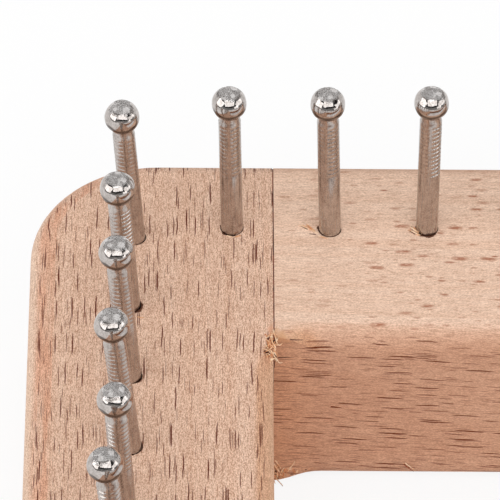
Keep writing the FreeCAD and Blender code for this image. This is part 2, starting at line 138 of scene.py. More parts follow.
def smoothBelow(piece, degrees):
    makeActive(piece)
    bpy.ops.object.shade_smooth_by_angle(angle=math.radians(degrees))


def closeUp(piece):
    editPiece(piece, everything=True)
    bpy.ops.mesh.remove_doubles(threshold=0.001 * mm)
    bpy.ops.mesh.normals_make_consistent(inside=False)
    stopEditing()


def copyPiece(source, matrix, name):
    copy = source.copy()
    copy.data = source.data.copy()
    copy.name = name
    bpy.context.scene.collection.objects.link(copy)
    copy.data.transform(matrix)
    return copy


def joinPieces(pieces, name):
    makeActive(pieces[0])
    for piece in pieces:
        piece.select_set(True)
    if len(pieces) > 1:
        bpy.ops.object.join()
    return startPiece(name)


def dropPieces(*pieces):
    for piece in pieces:
        bpy.data.objects.remove(piece)


def turnOutline(outline, sides, name):
    # a solid of revolution: a ring at each (radius, height) of the outline, in millimetres, pulled out of the
    # last; an outline that ends where it starts gives a ring with a hole
    isRing = outline[0] == outline[-1]
    deselectAll()
    firstRadius, firstHeight = outline[0]
    bpy.ops.mesh.primitive_circle_add(vertices=sides, radius=firstRadius * mm,
                                      location=(0, 0, firstHeight * mm),
                                      fill_type="NOTHING" if isRing else "TRIFAN")
    piece = startPiece(name)
    bpy.ops.object.transform_apply()
    editPiece(piece)
    selectVerts(piece, lambda co: co.xy.length > firstRadius * mm * 0.5)
    bpy.ops.mesh.select_mode(type="EDGE")
    for (radius, height), (nextRadius, nextHeight) in zip(outline, outline[1:]):
        bpy.ops.mesh.extrude_edges_move(TRANSFORM_OT_translate={"value": (0, 0, (nextHeight - height) * mm)})
        share = nextRadius / radius
        resizeAbout((share, share, 1), (0, 0, nextHeight * mm))
    if not isRing:
        bpy.ops.mesh.edge_face_add()
        bpy.ops.mesh.poke()
    closeUp(piece)
    return piece


# Node helpers: each adds to the tree that workOn was last given
current = {}


def workOn(tree):
    current["tree"] = tree
    return tree


def addNode(kind, **values):
    node = current["tree"].nodes.new("ShaderNode" + kind)
    for name, value in values.items():
        setattr(node, name, value)
    return node


def connect(value, socket):
    if isinstance(value, bpy.types.NodeSocket):
        current["tree"].links.new(value, socket)
    else:
        socket.default_value = value


def calc(operation, first, second=0.0, clamp=False):
    node = addNode("Math", operation=operation, use_clamp=clamp)
    connect(first, node.inputs[0])
    connect(second, node.inputs[1])
    return node.outputs[0]


def times(first, second, clamp=False):
    return calc("MULTIPLY", first, second, clamp)


def plus(first, second):
    return calc("ADD", first, second)


def minus(first, second):
    return calc("SUBTRACT", first, second)


def larger(first, second):
    return calc("MAXIMUM", first, second)


def weigh(first, firstShare, second, secondShare):
    return plus(times(first, firstShare), times(second, secondShare))


def ramp(value, low, high, lowOut=0.0, highOut=1.0, curve="SMOOTHSTEP"):
    node = addNode("MapRange", interpolation_type=curve)
    settings = {"Value": value, "From Min": low, "From Max": high, "To Min": lowOut, "To Max": highOut}
    for name, setting in settings.items():
        connect(setting, node.inputs[name])
    return node.outputs["Result"]


def vectorCalc(operation, first, second=(0.0, 0.0, 0.0)):
    node = addNode("VectorMath", operation=operation)
    connect(first, node.inputs[0])
    connect(second, node.inputs[1])
    return node.outputs["Value" if operation in ("LENGTH", "DOT_PRODUCT") else "Vector"]


def stretch(vector, scale):
    return vectorCalc("MULTIPLY", vector, scale)


def turnVector(vector, angles):
    node = addNode("VectorRotate", rotation_type="EULER_XYZ")
    connect(vector, node.inputs["Vector"])
    connect(angles, node.inputs["Rotation"])
    return node.outputs[0]


def axesOf(vector):
    node = addNode("SeparateXYZ")
    connect(vector, node.inputs[0])
    return node.outputs


def noise(vector, scale=1.0, detail=2.0, rough=0.5, output="Fac"):
    node = addNode("TexNoise")
    for name, value in {"Vector": vector, "Scale": scale, "Detail": detail, "Roughness": rough}.items():
        connect(value, node.inputs[name])
    return node.outputs[output]


def blendColour(amount, first, second, kind="MIX"):
    node = addNode("Mix", data_type="RGBA", blend_type=kind)
    connect(amount, node.inputs["Factor"])
    connect(first, node.inputs["A"])
    connect(second, node.inputs["B"])
    return node.outputs["Result"]


def makeGroup(name, vectors, values, outputs):
    tree = workOn(bpy.data.node_groups.new(name, "ShaderNodeTree"))
    sockets = ((vectors, "INPUT", "Vector"), (values, "INPUT", "Float"), (outputs, "OUTPUT", "Float"))
    for labels, way, kind in sockets:
        for label in labels:
            tree.interface.new_socket(label, in_out=way, socket_type="NodeSocket" + kind)
    return tree, tree.nodes.new("NodeGroupInput").outputs, tree.nodes.new("NodeGroupOutput").inputs


def giveOut(result, **values):
    for name, value in values.items():
        connect(value, result[name])


def useGroup(group, **values):
    node = addNode("Group", node_tree=group)
    for name, value in values.items():
        connect(value, node.inputs[name])
    return node.outputs


def newMaterial(name):
    material = bpy.data.materials.new(name)
    material.use_nodes = True
    return material, workOn(material.node_tree).nodes["Principled BSDF"].inputs


def whereShaded():
    # the shaded point in the board's own millimetres, and the way the surface faces there
    place = addNode("TexCoord")
    return stretch(place.outputs["Object"], (1 / mm,) * 3), place.outputs["Normal"]


def roughen(surface, height, strength, depth):
    bump = addNode("Bump")
    bump.inputs["Strength"].default_value = strength
    bump.inputs["Distance"].default_value = depth * mm
    connect(height, bump.inputs["Height"])
    connect(bump.outputs[0], surface["Normal"])


def twoToned(name, tones, cells, detail, rough, turnsAt, smooth):
    # a dull finish that passes from one tone to the other in patches
    material, surface = newMaterial(name)
    patches = noise(stretch(whereShaded()[0], cells), 1.0, detail, rough)
    connect(blendColour(ramp(patches, *turnsAt), *tones), surface["Base Color"])
    connect(ramp(patches, 0.3, 0.7, smooth, 0.8), surface["Roughness"])
    return material


def setFinish(piece, material):
    piece.data.materials.clear()
    piece.data.materials.append(material)


def linear(red, green, blue):
    # a colour picked on screen, 0 to 255, as the linear value that a shader wants
    def one(level):
        level /= 255
        return level / 12.92 if level <= 0.04045 else ((level + 0.055) / 1.055) ** 2.4
    return (one(red), one(green), one(blue), 1.0)


# Beech, in a grain frame of millimetres: X along the grain, Y across the rays, Z along them, toward the bark.
# A mark is a slim blunt rod in a cell of a stretched grid. Each kind has its cells to a millimetre, where
# its grid starts, a mark's least and greatest reach in its cell, how much of that is solid, and the share of
# cells that hold one.
grainMarks = {
    "dash": ((0.24, 6.0, 0.9), (0.0, 0.0, 0.0), (0.24, 0.46), 0.7, 0.4),
    "faintDash": ((0.45, 7.0, 0.9), (31.7, 12.3, 7.9), (0.2, 0.42), 0.4, 0.45),
    "fleck": ((0.34, 0.5, 1.3), (5.3, 2.1, 9.4), (0.2, 0.42), 0.3, 0.62),
    "slightFleck": ((0.62, 0.9, 2.4), (15.3, 8.1, 3.4), (0.16, 0.4), 0.3, 0.65),
}
pith = (0.0, 9.0, 70.0)     # from the growth rings' middle, well below the board, to the grain frame's


def makeGrainGroup():
    tree, given, result = makeGroup("beechGrain", ("Grain", "Normal", "Rays"), (),
                                    ("Dashes", "Flecks", "Rings", "Fibre", "Mottle", "Flat", "Height"))
    grain = given["Grain"]
    facing = axesOf(given["Normal"])
    onQuarter = ramp(calc("ABSOLUTE", facing["Y"]), 0.62, 0.9)

    # the fibres wander a little, so the rays aren't ruled straight
    wander = vectorCalc("SUBTRACT", noise(stretch(grain, (0.35, 0.5, 0.5)), output="Color"), (0.5, 0.5, 0.5))
    bent = vectorCalc("ADD", grain, stretch(wander, (0.0, 0.3, 0.3)))

    def marks(name):
        scale, start, reachRange, solid, share = grainMarks[name]
        cells = addNode("TexVoronoi", feature="F1", distance="MINKOWSKI")
        for socket, value in (("Exponent", 2.6), ("Randomness", 0.85), ("Scale", 1.0)):
            cells.inputs[socket].default_value = value
        sized = stretch(stretch(vectorCalc("ADD", bent, start), scale), given["Rays"])
        connect(sized, cells.inputs["Vector"])
        chance = addNode("SeparateColor")
        connect(cells.outputs["Color"], chance.inputs[0])
        reach = ramp(chance.outputs["Red"], 0.0, 1.0, *reachRange)
        inside = ramp(cells.outputs["Distance"], times(reach, solid), reach, 1.0, 0.0)
        isThere = calc("LESS_THAN", chance.outputs["Blue"], share)
        return times(inside, times(isThere, ramp(chance.outputs["Green"], 0.0, 0.8, 0.5, 1.0)))

    dashes = larger(marks("dash"), times(marks("faintDash"), 0.55))
    flecks = larger(marks("fleck"), times(marks("slightFleck"), 0.7))
    ragged = ramp(noise(stretch(grain, (1.6, 6.0, 6.0)), rough=0.7), 0.3, 0.56, 0.25, 1.0)
    fibre = noise(stretch(bent, (0.7, 11.0, 11.0)), rough=0.7)
    mottle = noise(stretch(grain, (5.0, 13.0, 13.0)), detail=1.0, rough=0.7)

    # growth rings round the pith, drifting a little along the board
    around = vectorCalc("LENGTH", stretch(vectorCalc("ADD", grain, pith), (0.0, 1.0, 1.0)))
    drift = noise(stretch(grain, (0.012, 0.07, 0.07)))
    rings = addNode("TexNoise", noise_dimensions="1D")
    connect(plus(around, times(drift, 6.0)), rings.inputs["W"])
    rings.inputs["Scale"].default_value = 0.8
    rings.inputs["Detail"].default_value = 2.0

    giveOut(result, Dashes=times(dashes, minus(1.0, onQuarter), clamp=True),
            Flecks=times(times(flecks, ragged), onQuarter), Rings=rings.outputs["Fac"], Fibre=fibre,
            Mottle=mottle, Flat=calc("ABSOLUTE", facing["Z"]),
            Height=minus(weigh(fibre, 0.5, mottle, 0.5), dashes))
    return tree


# Where the pins stand
pinDepth = 10.0      # how far a pin is driven in
pinPitch = 9.525


def standsOf(node):
    # where the CAD row's pins stand: the middle of each foot, and the way its axis points
    deselectAll()
    copy = copyPiece(nodes[node], Matrix.Identity(4), node + "_stands")
    copy.parent = None
    editPiece(copy, everything=True)
    bpy.ops.mesh.remove_doubles(threshold=0.001 * mm)
    bpy.ops.mesh.separate(type="LOOSE")
    stopEditing()
    stands = []
    for part in list(bpy.context.selected_objects):
        points = [vert.co.copy() for vert in part.data.vertices]
        lowest = min(point.z for point in points)
        feet = [point for point in points if point.z < lowest + 0.25 * mm]
        foot = sum(feet, Vector()) / len(feet)
        top = max(points, key=lambda point: (point - foot).length)
        stands.append((foot, (top - foot).normalized()))
        dropPieces(part)
    surface = [foot + way * pinDepth * mm for foot, way in stands]
    order = sorted(range(len(stands)), key=lambda number: (round(surface[number].x, 4), -surface[number].y))
    return [stands[number] for number in order]


def rowPlace(node, axis):
    places = sorted((foot + way * pinDepth * mm)[axis] for foot, way in standsOf(node))
    return places[len(places) // 2] / mm


# How near a point is to a pin's axis: painted shade darkens the wood in a crescent round each pin's foot, where
# the bore's mouth lies in shadow.
def makeBoreShadeGroup():
    tree, given, result = makeGroup("pinBoreShade", ("Place", "First"), ("Pitch", "Reach"), ("Shade",))
    here = axesOf(given["Place"])
    first = axesOf(given["First"])
    halfPitch = times(given["Pitch"], 0.5)
    roughly = noise(stretch(given["Place"], (1.0, 1.0, 0.0)), 1.6)

    def toNearest(along, start):
        # signed distance along the row to the nearest pin
        node = addNode("Math", operation="WRAP")
        connect(minus(along, start), node.inputs[0])
        connect(halfPitch, node.inputs[1])
        connect(times(halfPitch, -1.0), node.inputs[2])
        return node.outputs[0]

    def shadeAt(offX, offY):
        spread = addNode("CombineXYZ")
        connect(plus(offX, 0.09), spread.inputs[0])
        connect(plus(offY, 0.1), spread.inputs[1])
        edge = plus(given["Reach"], ramp(roughly, 0.3, 0.7, -0.05, 0.16))
        return ramp(vectorCalc("LENGTH", spread.outputs[0]), edge, plus(edge, 0.1), 1.0, 0.0)

    # the long rows run along X at both sides; the end row runs along Y at the pinned end only
    fromMiddle = calc("ABSOLUTE", here["Y"])
    longRow = shadeAt(toNearest(here["X"], first["X"]), minus(fromMiddle, first["Y"]))
    longRow = times(longRow, calc("GREATER_THAN", here["X"], minus(first["X"], halfPitch)))
    endRow = shadeAt(minus(here["X"], first["X"]), toNearest(here["Y"], 0.0))
    endRow = times(endRow, calc("LESS_THAN", fromMiddle, first["Y"]))
    isPastEnd = calc("GREATER_THAN", here["X"], times(first["X"], -0.93))
    giveOut(result, Shade=times(larger(longRow, endRow), minus(1.0, isPastEnd)))
    return tree


# The cutter that rounded the edges tore the wood in the frame's inner corners, top and bottom; the patch is the
# torn wood's tone, and spots within it are painted shade of its small cavities.
innerCorner = (205.34, 33.95, 19.9)     # the size of its X and Y, and the height of the upper one


def makeTearGroup():
    tree, given, result = makeGroup("tornCorners", ("Place", "Spread"), (), ("Patch", "Pits"))
    here = axesOf(given["Place"])
    half = innerCorner[2] / 2
    away = addNode("CombineXYZ")
    offsets = ((here["X"], innerCorner[0]), (here["Y"], innerCorner[1]), (minus(here["Z"], half), half))
    for axis, (offset, corner) in enumerate(offsets):
        connect(minus(calc("ABSOLUTE", offset), corner), away.inputs[axis])
    reach = vectorCalc("LENGTH", stretch(away.outputs[0], given["Spread"]))
    ragged = noise(given["Place"], 0.9, 3.0, 0.6)
    patch = ramp(plus(reach, ramp(ragged, 0.3, 0.7, -0.35, 0.35)), 0.4, 1.2, 1.0, 0.0)
    giveOut(result, Patch=patch, Pits=times(patch, ramp(noise(given["Place"], 3.4, 1.0), 0.68, 0.76)))
    return tree


grainGroup = makeGrainGroup()
boreShadeGroup = makeBoreShadeGroup()
tearGroup = makeTearGroup()
firstPin = (rowPlace("end_row_pins", 0), rowPlace("back_rail_pins", 1), 0.0)


def beech(name, look):
    material, surface = newMaterial(name)
    here, normal = whereShaded()
    turn = look["grainTurn"]
    grain = useGroup(grainGroup, Grain=vectorCalc("ADD", turnVector(here, turn), look["grainShift"]),
                     Normal=turnVector(normal, turn), Rays=look["rayScale"])

    # the tone of the face, from the quarter-sawn sides through the routed edge to the flat-sawn face
    turned = ramp(grain["Flat"], *look["turn"], curve=look["turnCurve"])
    tone = blendColour(turned, look["quarterTone"], look["flatTone"])
    low, middle, high = look["band"]
    band = times(ramp(grain["Flat"], low, middle), ramp(grain["Flat"], high, 1.0, 1.0, 0.0))
    streaks = noise(stretch(here, (1.6, 0.12, 1.6)), 1.0, 3.0, 0.6)
    outward = vectorCalc("DOT_PRODUCT", here, stretch(normal, (1.0, 0.0, 0.0)))
    band = times(times(band, ramp(streaks, 0.35, 0.62, 0.15, 1.0)), ramp(outward, 1.0, 20.0))
    tone = blendColour(times(band, look["bandAmount"]), tone, look["bandTone"])
    inner = times(ramp(grain["Flat"], 0.9, 0.999, 1.0, 0.0), ramp(outward, -40.0, -5.0, 1.0, 0.0))
    tone = blendColour(inner, tone, look["innerTone"], "MULTIPLY")
    rings = times(ramp(grain["Rings"], 0.3, 0.7), look["ringAmount"])
    tone = blendColour(rings, tone, look["ringTone"], "MULTIPLY")
    # painted light: the rail is made paler toward its ends, lifting the shade that the end blocks cast there
    if "endLightTone" in look:
        nearEnd = ramp(calc("ABSOLUTE", axesOf(here)["X"]), *look["endLightReach"])
        nearEnd = times(nearEnd, ramp(grain["Flat"], 0.3, 0.9))
        nearEnd = times(nearEnd, ramp(grain["Fibre"], 0.3, 0.6, 0.3, 1.0))
        tone = blendColour(nearEnd, tone, look["endLightTone"], "MULTIPLY")

    # fibres and pores redden and darken it, or lift it
    fibre, mottle = (ramp(grain[label], 0.32, 0.68) for label in ("Fibre", "Mottle"))
    speckle = weigh(fibre, look["fibreShare"], mottle, 1.0 - look["fibreShare"])
    colour = blendColour(1.0, tone, blendColour(speckle, look["darkGrit"], look["paleGrit"]), "MULTIPLY")
    colour = blendColour(times(grain["Flecks"], look["fleckAmount"]), colour, look["fleckTone"])
    colour = blendColour(grain["Dashes"], colour, look["dashTone"])
    if look["tearAmount"] > 0:
        tears = useGroup(tearGroup, Place=here, Spread=look["tearSpread"])
        colour = blendColour(times(tears["Patch"], look["tearAmount"]), colour, look["tearTone"])
        # painted shade of the torn wood's small cavities
        colour = blendColour(tears["Pits"], colour, look["pitShadeTone"])
    # painted shade: the wood darkens round the pins' feet
    boreShade = useGroup(boreShadeGroup, Place=here, First=firstPin, Pitch=pinPitch, Reach=look["boreShadeReach"])
    connect(blendColour(boreShade["Shade"], colour, look["boreShadeTone"]), surface["Base Color"])
    connect(ramp(grain["Fibre"], 0.2, 0.8, 0.62, 0.74), surface["Roughness"])
    surface["Specular IOR Level"].default_value = 0.22
    roughen(surface, grain["Height"], 0.6, 0.03)
    return material


blockLook = {
    "grainTurn": (0.0, 0.0, math.radians(-90)),     # grain along the block, growth rings facing up
    "grainShift": (3.0, 2.0, 5.0),
    "quarterTone": linear(236, 207, 184),
    "flatTone": linear(227, 192, 168),
    "turn": (0.5, 0.8),         # how far up a surface faces where the side's tone turns into the top's
    "turnCurve": "SMOOTHSTEP",
    "bandTone": linear(222, 172, 144),
    "band": (0.62, 0.86, 0.995),        # where on the rounded edge a darker band starts, is full and ends
    "bandAmount": 0.9,
    "innerTone": (0.92, 0.82, 0.72, 1.0),
    "ringTone": linear(246, 238, 232),
    "ringAmount": 0.6,
    "rayScale": (1.0, 1.0, 1.0),
    "fibreShare": 0.35,
    "darkGrit": (0.55, 0.4, 0.32, 1.0),
    "paleGrit": (1.31, 1.4, 1.46, 1.0),
    "fleckTone": linear(196, 148, 124),
    "fleckAmount": 0.4,
    "dashTone": linear(92, 26, 0),
    "tearSpread": (1.5, 0.5, 0.9),     # one over the patch's reach in millimetres, each way
    "tearAmount": 0.6,
    "tearTone": linear(218, 156, 122),
    # painted shade in the torn corners' small cavities
    "pitShadeTone": linear(92, 44, 24),
    # painted shade round the pins' feet: how far it reaches past the axis, and its tone
    "boreShadeReach": 0.98,
    "boreShadeTone": linear(96, 58, 40),
}
railLook = dict(
    blockLook,
    grainTurn=(math.radians(90), 0.0, math.radians(-3)),      # rays run through the rail from front to back
    grainShift=(11.0, 0.0, 3.0),
    quarterTone=linear(236, 204, 181),
    flatTone=linear(204, 160, 133),
    turn=(0.0, 0.95),
    turnCurve="LINEAR",
    bandAmount=0.0,
    rayScale=(1.1, 0.82, 0.9),
    fibreShare=0.45,
    darkGrit=(0.68, 0.6, 0.55, 1.0),
    paleGrit=(1.22, 1.26, 1.29, 1.0),
    fleckTone=linear(172, 116, 90),
    fleckAmount=1.0,
    dashTone=linear(100, 36, 0),
    tearSpread=(0.55, 0.8, 0.9),
    tearTone=linear(206, 154, 112),
    # painted light near the rail's ends, lifting the end blocks' shade
    endLightTone=(1.08, 1.04, 0.97, 1.0),        # near its ends the rail is a little paler
    endLightReach=(199.5, 205.0),
)
sliderLook = dict(blockLook, grainShift=(40.0, 12.0, 9.0), bandAmount=0.2, tearAmount=0.0)
dowelLook = dict(sliderLook, grainTurn=(0.0, 0.0, 0.0), grainShift=(5.0, 1.0, 0.0))
beechPieces = {
    "blockBeech": (blockLook, ("pinned_end_block", "plain_end_block")),
    "railBeech": (railLook, ("back_rail", "front_rail")),
    "sliderBeech": (sliderLook, ("slider_bar", "upper_clamp_strip", "under_clamp_strip")),
    "dowelBeech": (dowelLook, ("pinned_end_dowels", "plain_end_dowels")),
}
for name, (look, pieces) in beechPieces.items():
    finish = beech(name, look)
    for piece in pieces:
        setFinish(nodes[piece], finish)
print("beech done")


# Glue lines: block and rails are sharp-edged where they meet, and a line of old glue fills the joint; its dark
# tones are painted shade of the narrow gap.
glueShape = {
    "sink": 0.05,               # the glue has shrunk this far below the wood, in millimetres
    "arris": 2.5,               # the radius that the router left on the frame's outer edges
    # painted shade of the narrow gap, carried by the glue
    "tones": (linear(70, 30, 18), linear(126, 66, 44)),
}


def makeShadedGlueLine(block, rail, name, finish):
    blockLow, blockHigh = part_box(block)
    railLow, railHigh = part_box(rail)
    if blockLow.x < 0:
        left, right = blockHigh.x, railLow.x
    else:
        left, right = railHigh.x, blockLow.x
    sink = glueShape["sink"] * mm
    deselectAll()
    bpy.ops.mesh.primitive_cube_add(size=1, location=((left + right) / 2, (railLow.y + railHigh.y) / 2,
                                                      (railLow.z + railHigh.z) / 2))
    piece = startPiece(name)
    piece.scale = (right - left, railHigh.y - railLow.y - 2 * sink, railHigh.z - railLow.z - 2 * sink)
    bpy.ops.object.transform_apply()
    editPiece(piece)
    outer = max(abs(railLow.y), abs(railHigh.y)) - 2 * sink
    selectVerts(piece, lambda co: abs(co.y) > outer)
    selectEdges(piece, lambda way: abs(way.x) > 0.9 * way.length)
    bpy.ops.mesh.bevel(offset=glueShape["arris"] * mm, segments=8)
    stopEditing()
    setFinish(piece, finish)
    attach(piece, "frame")


shadedGlue = twoToned("shadedGlue", glueShape["tones"], cells=(1.0, 0.45, 0.45), detail=3.0, rough=0.7,
                   turnsAt=(0.42, 0.62), smooth=0.55)
for end in ("pinned", "plain"):
    for side in ("back", "front"):
        makeShadedGlueLine(end + "_end_block", side + "_rail", "shaded_glue_line_" + end + "_" + side, shadedGlue)
print("glue lines done")


# Torn fibres: fine curls that the cutter left in the inner corners, and slivers that the pins raised; the dark
# fibres among them are painted shade in the gaps between curls and under slivers.
fibreAndShadeTones = {
    "pale": (linear(244, 214, 182), linear(226, 176, 134)),
    "paleOrange": (linear(240, 192, 148), linear(216, 152, 108)),
    "orange": (linear(226, 166, 120), linear(200, 130, 86)),
    "rust": (linear(158, 82, 46), linear(118, 56, 28)),
    # painted shade, not a wood tone: the dark fibres sunk among the curls and under the slivers
    "dark": (linear(92, 46, 26), linear(52, 24, 14)),
}
fibreTip = 0.45     # a fibre's thickness at its tip, as a share of its root's
# tone, thickness at the root, and points from the corner: inward along the rail, outward across it, up
topFibres = [
    ("pale", 0.19, [(-0.1, 1.0, -0.05), (-0.03, 0.3, 0.25), (0.12, -0.27, 0.2), (0.2, -0.75, 0.15),
                    (0.3, -1.15, 0.1), (0.52, -1.36, 0.1), (0.78, -1.05, 0.12)]),
    ("pale", 0.2, [(-0.24, 0.6, -0.05), (-0.2, -0.1, 0.2), (-0.24, -0.9, 0.25), (-0.03, -1.3, 0.15),
                    (0.19, -1.7, 0.1), (0.02, -2.1, -0.05)]),
    ("pale", 0.17, [(-0.16, -2.2, -0.05), (-0.03, -2.75, 0.12), (0.26, -3.2, 0.1), (0.5, -3.7, 0.0),
                    (0.78, -3.5, 0.0)]),
    ("pale", 0.18, [(-0.98, -1.65, -0.05), (-0.82, -1.95, 0.15), (-0.55, -2.05, 0.12),
                    (-0.45, -1.75, -0.05)]),
    ("pale", 0.16, [(-0.8, -1.1, -0.05), (-0.72, -1.45, 0.15), (-0.58, -1.75, 0.1)]),
    ("paleOrange", 0.2, [(-0.6, 0.05, -0.05), (-0.35, 0.2, 0.15), (-0.22, -0.15, 0.15), (-0.4, -0.5, 0.0)]),
    ("paleOrange", 0.2, [(-0.4, -0.6, -0.04), (-0.45, -1.1, 0.14), (-0.3, -1.5, 0.12), (-0.2, -1.75, -0.04)]),
    ("orange", 0.24, [(-0.62, -0.5, -0.08), (-0.6, -0.95, 0.08), (-0.5, -1.4, 0.06), (-0.52, -1.7, -0.06)]),
    ("orange", 0.22, [(-0.35, -0.3, -0.06), (-0.3, -0.7, 0.06), (-0.34, -1.2, 0.04)]),
    ("orange", 0.18, [(-0.3, -1.8, -0.06), (-0.28, -2.2, 0.08), (-0.2, -2.7, 0.06), (-0.22, -3.2, -0.06)]),
    ("pale", 0.12, [(-0.5, -1.9, -0.04), (-0.42, -2.3, 0.14), (-0.24, -2.45, 0.12), (-0.1, -2.3, 0.0)]),
    ("pale", 0.12, [(-0.9, -0.4, -0.04), (-0.75, -0.15, 0.14), (-0.55, -0.25, 0.1)]),
    ("pale", 0.11, [(-0.75, -2.3, -0.04), (-0.65, -2.75, 0.1), (-0.66, -3.1, 0.0)]),
    ("pale", 0.1, [(-0.4, -2.9, -0.04), (-0.34, -3.4, 0.1), (-0.4, -3.8, 0.0)]),
    ("pale", 0.13, [(0.25, -0.5, -0.1), (0.42, -0.2, 0.06), (0.36, 0.15, 0.0)]),
    ("dark", 0.3, [(0.02, -0.5, -0.06), (0.03, -0.9, 0.0), (0.06, -1.3, -0.06)]),
    ("dark", 0.26, [(-0.58, -0.12, -0.06), (-0.54, -0.3, 0.0), (-0.5, -0.44, -0.06)]),
    ("dark", 0.22, [(-0.04, -2.4, -0.06), (0.05, -2.6, 0.0), (0.2, -2.72, -0.06)]),
    ("dark", 0.16, [(-0.92, -1.95, -0.05), (-0.78, -2.18, -0.01), (-0.6, -2.24, -0.05)]),
    ("dark", 0.16, [(-0.46, -1.75, -0.04), (-0.4, -1.95, 0.0), (-0.38, -2.1, -0.04)]),
    ("dark", 0.14, [(0.0, -3.3, -0.1), (0.02, -3.6, -0.05), (0.0, -4.1, -0.1)]),
    ("dark", 0.14, [(0.28, 0.2, -0.2), (0.34, 0.0, -0.18), (0.3, -0.15, -0.2)]),
    ("dark", 0.12, [(1.3, 0.1, -0.45), (2.0, 0.05, -0.5), (2.8, 0.08, -0.5)]),
    ("dark", 0.17, [(0.4, 0.04, -2.86), (1.2, 0.03, -2.77), (2.1, 0.04, -2.8)]),
]
bottomFibres = [
    ("pale", 0.22, [(0.05, 0.05, 2.7), (0.4, -0.15, 2.2), (0.75, -0.2, 1.5), (0.85, 0.05, 1.2)]),
    ("pale", 0.18, [(0.35, 0.05, 2.9), (0.7, -0.15, 2.5), (0.95, -0.15, 1.9)]),
    ("pale", 0.2, [(1.5, 0.1, 1.5), (2.0, -0.15, 2.1), (2.3, 0.02, 2.8)]),
    ("paleOrange", 0.2, [(0.3, 0.05, 1.3), (0.65, -0.12, 1.05), (0.9, 0.05, 0.6)]),
    ("orange", 0.22, [(1.0, 0.1, 1.7), (1.5, -0.05, 1.5), (2.0, 0.05, 1.6)]),
    ("dark", 0.3, [(0.04, 0.05, 1.7), (0.08, 0.0, 1.1), (0.1, 0.05, 0.4)]),
    ("dark", 0.24, [(0.45, 0.05, 1.5), (0.5, -0.02, 1.1), (0.5, 0.05, 0.8)]),
    ("dark", 0.16, [(1.9, 0.06, 0.95), (2.1, 0.0, 1.05), (2.25, 0.06, 0.9)]),
    ("dark", 0.16, [(3.3, 0.06, 1.6), (3.45, 0.0, 1.7), (3.6, 0.06, 1.6)]),
    ("pale", 0.15, [(0.4, 0.0, 0.5), (0.8, -0.4, 0.3), (1.15, -0.8, 0.2)]),
    ("dark", 0.1, [(0.45, 0.0, 0.4), (0.85, -0.45, 0.25), (1.15, -0.85, 0.15)]),
    ("pale", 0.12, [(0.15, 0.0, 0.4), (0.35, -0.3, 0.25), (0.4, -0.55, 0.2)]),
]
# by the photographed pins, from the board's middle; the last number is the height above the wood
pinSlivers = [
    ("pale", 0.16, [(-200.95, 48.35, -0.06), (-201.8, 48.85, 0.12), (-202.8, 49.5, 0.08)]),
    ("paleOrange", 0.26, [(-201.3, 48.7, -0.08), (-201.75, 49.2, 0.1), (-202.1, 49.55, 0.02)]),
    ("paleOrange", 0.16, [(-201.5, 48.7, -0.06), (-202.0, 49.15, 0.08), (-202.5, 49.55, 0.0)]),
    ("pale", 0.14, [(-201.0, 48.1, -0.06), (-200.6, 47.75, 0.08), (-200.0, 47.6, 0.0)]),
    ("dark", 0.18, [(-201.2, 48.2, -0.05), (-201.6, 48.25, -0.02), (-202.05, 48.3, -0.06)]),
    ("dark", 0.12, [(-202.0, 48.9, -0.03), (-202.4, 49.2, -0.01), (-202.8, 49.42, -0.04)]),
    ("pale", 0.2, [(-191.0, 48.5, -0.1), (-191.6, 48.75, 0.25), (-192.05, 49.2, 0.2),
                    (-191.7, 49.55, -0.05)]),
    ("pale", 0.18, [(-190.95, 48.2, -0.1), (-191.35, 48.2, 0.2), (-191.8, 48.6, 0.2),
                    (-192.15, 49.0, -0.05)]),
    ("orange", 0.24, [(-191.3, 48.85, -0.1), (-191.55, 49.15, 0.1), (-191.6, 49.4, -0.1)]),
    ("dark", 0.14, [(-191.5, 48.3, -0.03), (-191.8, 48.6, -0.01), (-192.15, 48.85, -0.04)]),
    ("pale", 0.16, [(-209.9, 48.0, -0.08), (-209.6, 47.75, 0.12), (-209.2, 47.72, -0.05)]),
    ("orange", 0.16, [(-209.1, 47.75, -0.08), (-208.75, 47.8, 0.12), (-208.45, 48.05, -0.05)]),
    ("pale", 0.14, [(-218.5, 36.6, -0.08), (-218.2, 36.3, 0.15), (-217.8, 36.4, 0.05)]),
    ("rust", 0.24, [(-199.7, 34.0, -9.48), (-199.3, 33.97, -9.54), (-198.9, 33.97, -9.6),
                    (-198.5, 34.02, -9.62)]),
    ("rust", 0.14, [(-199.0, 34.02, -9.66), (-198.5, 33.99, -9.7), (-197.9, 34.03, -9.7)]),
    ("pale", 0.12, [(-192.3, 33.9, -17.1), (-191.8, 33.75, -17.6), (-191.2, 33.8, -18.1)]),
    ("rust", 0.12, [(-192.4, 33.95, -17.4), (-191.9, 33.8, -17.85), (-191.4, 33.85, -18.3)]),
]
curlShape = {
    "size": (0.16, 0.34),
    "thickness": (0.1, 0.16),
    "hook": ((-1.0, -0.3), (-0.2, 0.15), (0.6, 0.5)),       # the last point is drawn
    "tones": ("pale", "orange", "paleOrange", "pale"),
}


def makeFibre(points, thickness, material):
    # a curve that thins toward its tip, made a mesh
    deselectAll()
    data = bpy.data.curves.new("fibre", "CURVE")
    data.dimensions = "3D"
    data.resolution_u = 4
    data.bevel_depth = thickness / 2 * mm
    data.bevel_resolution = 1
    data.use_fill_caps = True
    spline = data.splines.new("NURBS")
    spline.points.add(len(points) - 1)
    for number, (point, place) in enumerate(zip(spline.points, points)):
        point.co = (place[0] * mm, place[1] * mm, place[2] * mm, 1.0)
        point.radius = 1.0 + (fibreTip - 1.0) * number / (len(points) - 1)
    spline.order_u = 3
    spline.use_endpoint_u = True
    fibre = bpy.data.objects.new("fibre", data)
    bpy.context.scene.collection.objects.link(fibre)
    makeActive(fibre)
    bpy.ops.object.convert(target="MESH")
    fibre = bpy.context.object
    setFinish(fibre, material)
    bpy.ops.object.shade_smooth()
    return fibre


